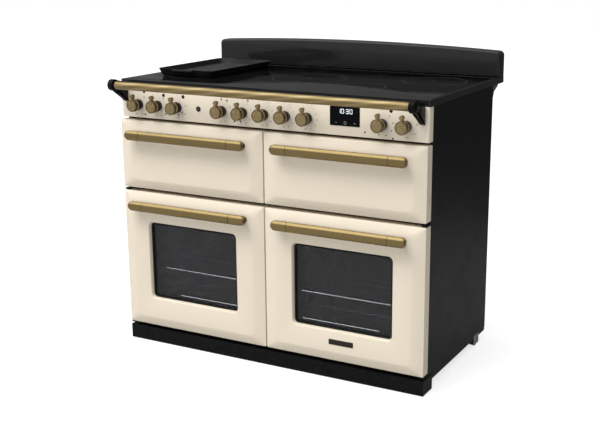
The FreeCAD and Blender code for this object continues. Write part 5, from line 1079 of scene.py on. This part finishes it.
def stroke(start, end, width, depth):
    """A straight line as one long face: both ends moved aside by half the width."""
    start, end = np.array(start, float), np.array(end, float)
    way = (end - start) / np.linalg.norm(end - start)
    off = np.array((-way[1], way[0])) * width / 2
    return lay(np.array([start + off, start - off, end - off, end + off]), depth, "front"), [[0, 1, 2, 3]]


low, high, mid = span_of("display_module")
clock_loop = box_loop(98 * mm, 58 * mm, 2.5 * mm, (mid[0], mid[2]), 5, 3)
piece("clock_glass", slab(clock_loop, low[1] - 0.4 * mm, fascia_face + 2 * mm, 0.7 * mm, "front"),
      "clock_plate", "carcass")
lit = low[1] - 0.5 * mm
marks = []
for offset, lit_strokes in CLOCK_FIGURES:
    base = np.array((mid[0] + (offset - 2.5) * mm, mid[2] + 8.5 * mm))
    for key in lit_strokes:
        start, end = (base + np.array(corner) * FIGURE_SIZE for corner in STROKES[key])
        marks.append(stroke(start, end, 1.4 * mm, lit))
marks += [dot((mid[0] + 0.8 * mm, mid[2] + rise * mm), 0.8 * mm, lit) for rise in (12, 18)]
piece("clock_figures", together(*marks), "clock_light", "carcass", welded=False)
centre = np.array((mid[0] + 1.5 * mm, mid[2] - 19.5 * mm))
ring_path = arc_at(np.linspace(0, 2 * math.pi, 25), 4 * mm, centre)
marks = [stroke(start, end, 1.3 * mm, lit) for start, end in zip(ring_path[:-1], ring_path[1:])]
for offset, half_mark in ((-30, (2.6, 0)), (31, (2.6, 0)), (31, (0, 2.6))):
    at, way = centre + (offset * mm, 0), np.array(half_mark) * mm
    marks.append(stroke(at - way, at + way, 1.2 * mm, lit))
piece("clock_icons", together(*marks), "clock_icon", "carcass", welded=False)

# %% [markdown]
# The indicator lamp is a turned black ring with a small domed lens.

# %% Lamp on the fascia
RING = np.array([(8.6, 0), (8.6, 2), (7.4, 3.2), (5.2, 3.4), (4.6, 2.6), (4.6, 0)]) * mm
DOME = np.array([(4.6, 0), (4.6, 2.2), (4.2, 3.2), (3.0, 4.2), (1.4, 4.8), (0, 4.9)]) * mm
low, high, mid = span_of("indicator_lamp")
lamp_at = (mid[0], fascia_face + 1 * mm, mid[2])
piece("lamp_ring", turned(RING, lamp_at, (0, -1, 0), 40), "black_gloss_plastic", "carcass",
      ("indicator_lamp",), sharp=30)
piece("lamp_dome", turned(DOME, lamp_at, (0, -1, 0), 32), "lamp_lens", "carcass")

# %% [markdown]
# The print on the fascia is only generic numbers and dots. Zone knobs have nine numbers on a ring, heat
# knobs have fifties, and function knobs have dots; Blender's own figures are turned into a mesh, read back
# as an array and set flat on the panel. The lists give the signs between the knobs in millimetres: x, z and
# radius of the larger ones, x and z of the small ones.

# %% Printed marks
LABEL_RING = 33 * mm
SIGNS = ((-375, 851.9, 5.5), (-298.9, 851.6, 5.7), (-452.4, 859, 5.1), (425.1, 857.1, 5.3))
SMALL_SIGNS = ((-133.2, 850.4), (-56.8, 855.4), (-154.5, 853), (-451, 785.1), (-369, 792.9), (-318.2, 793),
               (-304.3, 801), (342.4, 789.3), (431.9, 777), (-107.3, 787.9), (-85.3, 789.5), (-27.4, 793.8))


def figures(text, size, at, depth):
    """A text set flat on the front: its letters' points moved so that its middle is at that place."""
    words = bpy.data.curves.new("figures", "FONT")
    words.body, words.size, words.align_x, words.align_y = text, size, "CENTER", "CENTER"
    carrier = bpy.data.objects.new("figures", words)
    scene.collection.objects.link(carrier)
    bpy.context.view_layer.update()
    flat = bpy.data.meshes.new_from_object(carrier)
    coords = np.zeros(3 * len(flat.vertices), np.float32)
    flat.vertices.foreach_get("co", coords)
    faces = [list(face.vertices) for face in flat.polygons]
    bpy.data.objects.remove(carrier)
    bpy.data.meshes.remove(flat)
    return lay(coords.reshape(-1, 3)[:, :2] + np.array(at), depth, "front"), faces


def labels_of(name):
    """The texts round a knob and their angles in degrees from the right; an empty text is a dot."""
    if "zone" in name:
        return [(str(n), 90 - 32 * n) for n in range(1, 10)]
    if "heat" in name:
        return [(str(50 * n), 62 - 50 * n) for n in range(1, 6)]
    return [("", 90 - 40 * n) for n in range(1, 8)]


ink = fascia_face - 0.12 * mm
marks = []
for name in KNOB_NAMES:
    x = span_of(name)[2][0]
    zone = "zone" in name
    for text, degrees in labels_of(name):
        spot = arc_at(np.array([math.radians(degrees)]), LABEL_RING, (x, KNOB_Z))[0]
        size = (7.5 if zone else 6) * mm
        marks.append(figures(text, size, spot, ink) if text else dot(spot, 1.9 * mm, ink))
    marks.append(dot((x, KNOB_Z + 42 * mm), 0.9 * mm, ink))
    if zone:
        marks += [dot((x + (17 + u) * mm, KNOB_Z + (40 + v) * mm), 0.9 * mm, ink)
                  for u, v in ((-3, -3), (3, -3), (-3, 3), (3, 3))]
marks += [dot((x * mm, z * mm), radius * mm, ink, 20) for x, z, radius in SIGNS]
marks += [dot((x * mm, z * mm), 2.8 * mm, ink, 16) for x, z in SMALL_SIGNS]
piece("fascia_print", together(*marks), "print_black", "carcass", welded=False)

# %% [markdown]
# ## Hob, backguard and griddle
# The hob surround is a cast frame with a chamfered rim that catches a thin line of light; its folds are also
# painted a little lighter, as wear and as a painted highlight. The glass lies in its recess.

# %% Hob surround and glass
low, high, mid = span_of("hob_frame")
g_low, g_high, g_mid = span_of("hob_glass")
HOB_CORNER, GLASS_CORNER = 6 * mm, 5.7 * mm
outer = (high[0] - low[0], high[1] - low[1], HOB_CORNER, mid[0], mid[1])
recess = (g_high[0] - g_low[0] + 0.6 * mm, g_high[1] - g_low[1] + 0.6 * mm, HOB_CORNER, g_mid[0], g_mid[1])
opening = (recess[0] - 24 * mm, recess[1] - 24 * mm, HOB_CORNER, g_mid[0], g_mid[1])
top, bottom = high[2], low[2]
line = eased_line([(*opening, bottom), (*outer, bottom), (*outer, top - 0.3 * mm), (*recess, top - 0.3 * mm),
                   (*recess, top - 6 * mm), (*opening, top - 6 * mm), (*opening, bottom)],
                  np.array([1, 2.2, 0.5, 0.3, 1]) * mm)
loops = loops_along(line, "top", 5, 10)
# The rim's folds, painted lighter: wear and a painted highlight.
wear_and_painted_light = np.repeat(turns(line), len(loops[0]))
piece("hob_surround", stacked(loops, False, False), "black_gloss_enamel", "carcass",
      ("hob_frame",), wear_and_painted_light)
sheet_loop = box_loop(g_high[0] - g_low[0], g_high[1] - g_low[1], GLASS_CORNER, (g_mid[0], g_mid[1]), 5, 10)
piece("hob_sheet", slab(sheet_loop, g_low[2], g_high[2], 0.7 * mm, "top"), "ceramic_glass", "carcass",
      ("hob_glass",))

# %% [markdown]
# Faint rings are printed on the glass over the heating zones: flat bands nearly a millimetre wide and as
# thin as ink, with a small ring at the middle of each zone.

# %% Zone rings
ZONES = ((0, 12, 123), (227, -107, 93), (391, 133, 103), (-386, -90, 84), (-386, 130, 95))
PRINT_THICK = 0.1 * mm


def printed_ring(centre, radius, width, depth, sides=96):
    """A thin flat ring: circles half the width inside and outside the radius, at two heights, joined up."""
    circle = arc_at(around_once(sides))
    under = depth - PRINT_THICK
    rows = ((-1, under), (1, under), (1, depth), (-1, depth), (-1, under))
    loops = [lay(circle * (radius + sign * width / 2) + np.array(centre), z, "top") for sign, z in rows]
    return stacked(loops, False, False)


rings = [printed_ring((x * mm, y * mm), r * mm, 0.9 * mm, top + 0.04 * mm) for x, y, r in ZONES]
rings += [printed_ring((x * mm, y * mm), 6 * mm, 0.8 * mm, top + 0.04 * mm, 32) for x, y, r in ZONES]
piece("zone_rings", together(*rings), "print_grey", "carcass")

# %% [markdown]
# The backguard is an upright with soft rims whose top bows up by 14 mm in the middle: at a share s of the
# half width its height is the full height less 14 mm times s squared. A row of narrow vents runs along its
# foot; each has a pressed lip, a rounded rectangle that rises out of the face and rolls back in.

# %% Backguard and vents
CROWN, GUARD_CORNER = 14 * mm, 16 * mm
VENTS, VENT_FROM_END = 12, 117 * mm
LIP = np.array([(-1.2, 0), (-0.9, -0.9), (-0.2, -1.0), (0.3, -0.2), (0.4, 0.5)]) * mm
low, high, mid = span_of("backguard")
half, foot = high[0], low[2]
across = np.linspace(half - GUARD_CORNER, GUARD_CORNER - half, 49)
bow = high[2] - CROWN * (across / half) ** 2
quarter = np.linspace(0, math.pi / 2, 9)
round_right = arc_at(quarter[:-1], GUARD_CORNER, (half - GUARD_CORNER, bow[0] - GUARD_CORNER))
round_left = arc_at(quarter[1:] + math.pi / 2, GUARD_CORNER, (GUARD_CORNER - half, bow[-1] - GUARD_CORNER))
halfway = (foot + bow[0]) / 2
guard_line = np.concatenate([[(-half, foot), (0, foot), (half, foot), (half, halfway)], round_right,
                             np.stack([across, bow], 1), round_left, [(-half, halfway)]])
piece("backguard_shell", slab(guard_line, low[1], high[1], 8 * mm, "front", 7), "black_gloss_enamel",
      "carcass", ("backguard",), sharp=50)
vents = []
for x in np.linspace(VENT_FROM_END - half, half - VENT_FROM_END, VENTS):
    mouth = box_loop(58 * mm, 7 * mm, 3.2 * mm, (x, foot + 7.5 * mm), 5, 1)
    vents.append(stacked([lay(inset(mouth, inwards), low[1] + out, "front") for inwards, out in LIP], False))
piece("guard_vents", together(*vents), "black_satin_enamel", "carcass", sharp=50)

# %% [markdown]
# The griddle is a cast tray with flared sides, a pitted floor and a grip at each end. Its section is a line
# of rows, each a rounded rectangle smaller than the rim by so much, and the wear_and_painted_light value is
# high on the floor, which is painted lighter as a painted reflection, and reaches half on the rim's folds,
# as wear and a painted highlight.

# %% Griddle
low, high, mid = span_of("griddle")
foot, rim = low[2] + 0.3 * mm, high[2]
wide, long = high[0] - low[0], high[1] - low[1] - 32 * mm
ROWS = ((60, 6, foot + 1.2 * mm), (22, 17, foot), (17, 18, foot + 3 * mm), (0, 22, rim), (9, 18, rim),
        (28, 13, foot + 6 * mm), (44, 8, foot + 6 * mm))
section = [(wide - less * mm, long - less * mm, corner * mm, mid[0], mid[1], z) for less, corner, z in ROWS]
line = eased_line(section, np.array([1, 1, 1.5, 1.5, 5]) * mm)
loops = loops_along(line, "top", 6, 8)
on_floor = np.arange(len(line)) > len(line) - 4
shapes = [stacked(loops)]
for sign in (-1, 1):
    edge_y = mid[1] + sign * long / 2
    inner_y, outer_y = edge_y - sign * 6 * mm, edge_y + sign * 15.5 * mm
    outline = eased([(mid[0] - 45 * mm, inner_y), (mid[0] + 45 * mm, inner_y), (mid[0] + 38 * mm, outer_y),
                     (mid[0] - 38 * mm, outer_y)], np.array([2, 2, 9, 9]) * mm, 6)
    shapes.append(slab(outline, rim - 6 * mm, rim, 1.8 * mm, "top"))
shape = together(*shapes)
# High on the floor for a painted reflection; half on the folds for wear and a painted highlight.
wear_and_painted_light = np.repeat(np.where(on_floor, 0.9, turns(line) * 0.5), len(loops[0]))
wear_and_painted_light = np.concatenate([wear_and_painted_light, np.full(len(shape[0]) - len(wear_and_painted_light), 0.15)])
piece("griddle_plate", shape, "cast_iron", "griddle", ("griddle",), wear_and_painted_light)
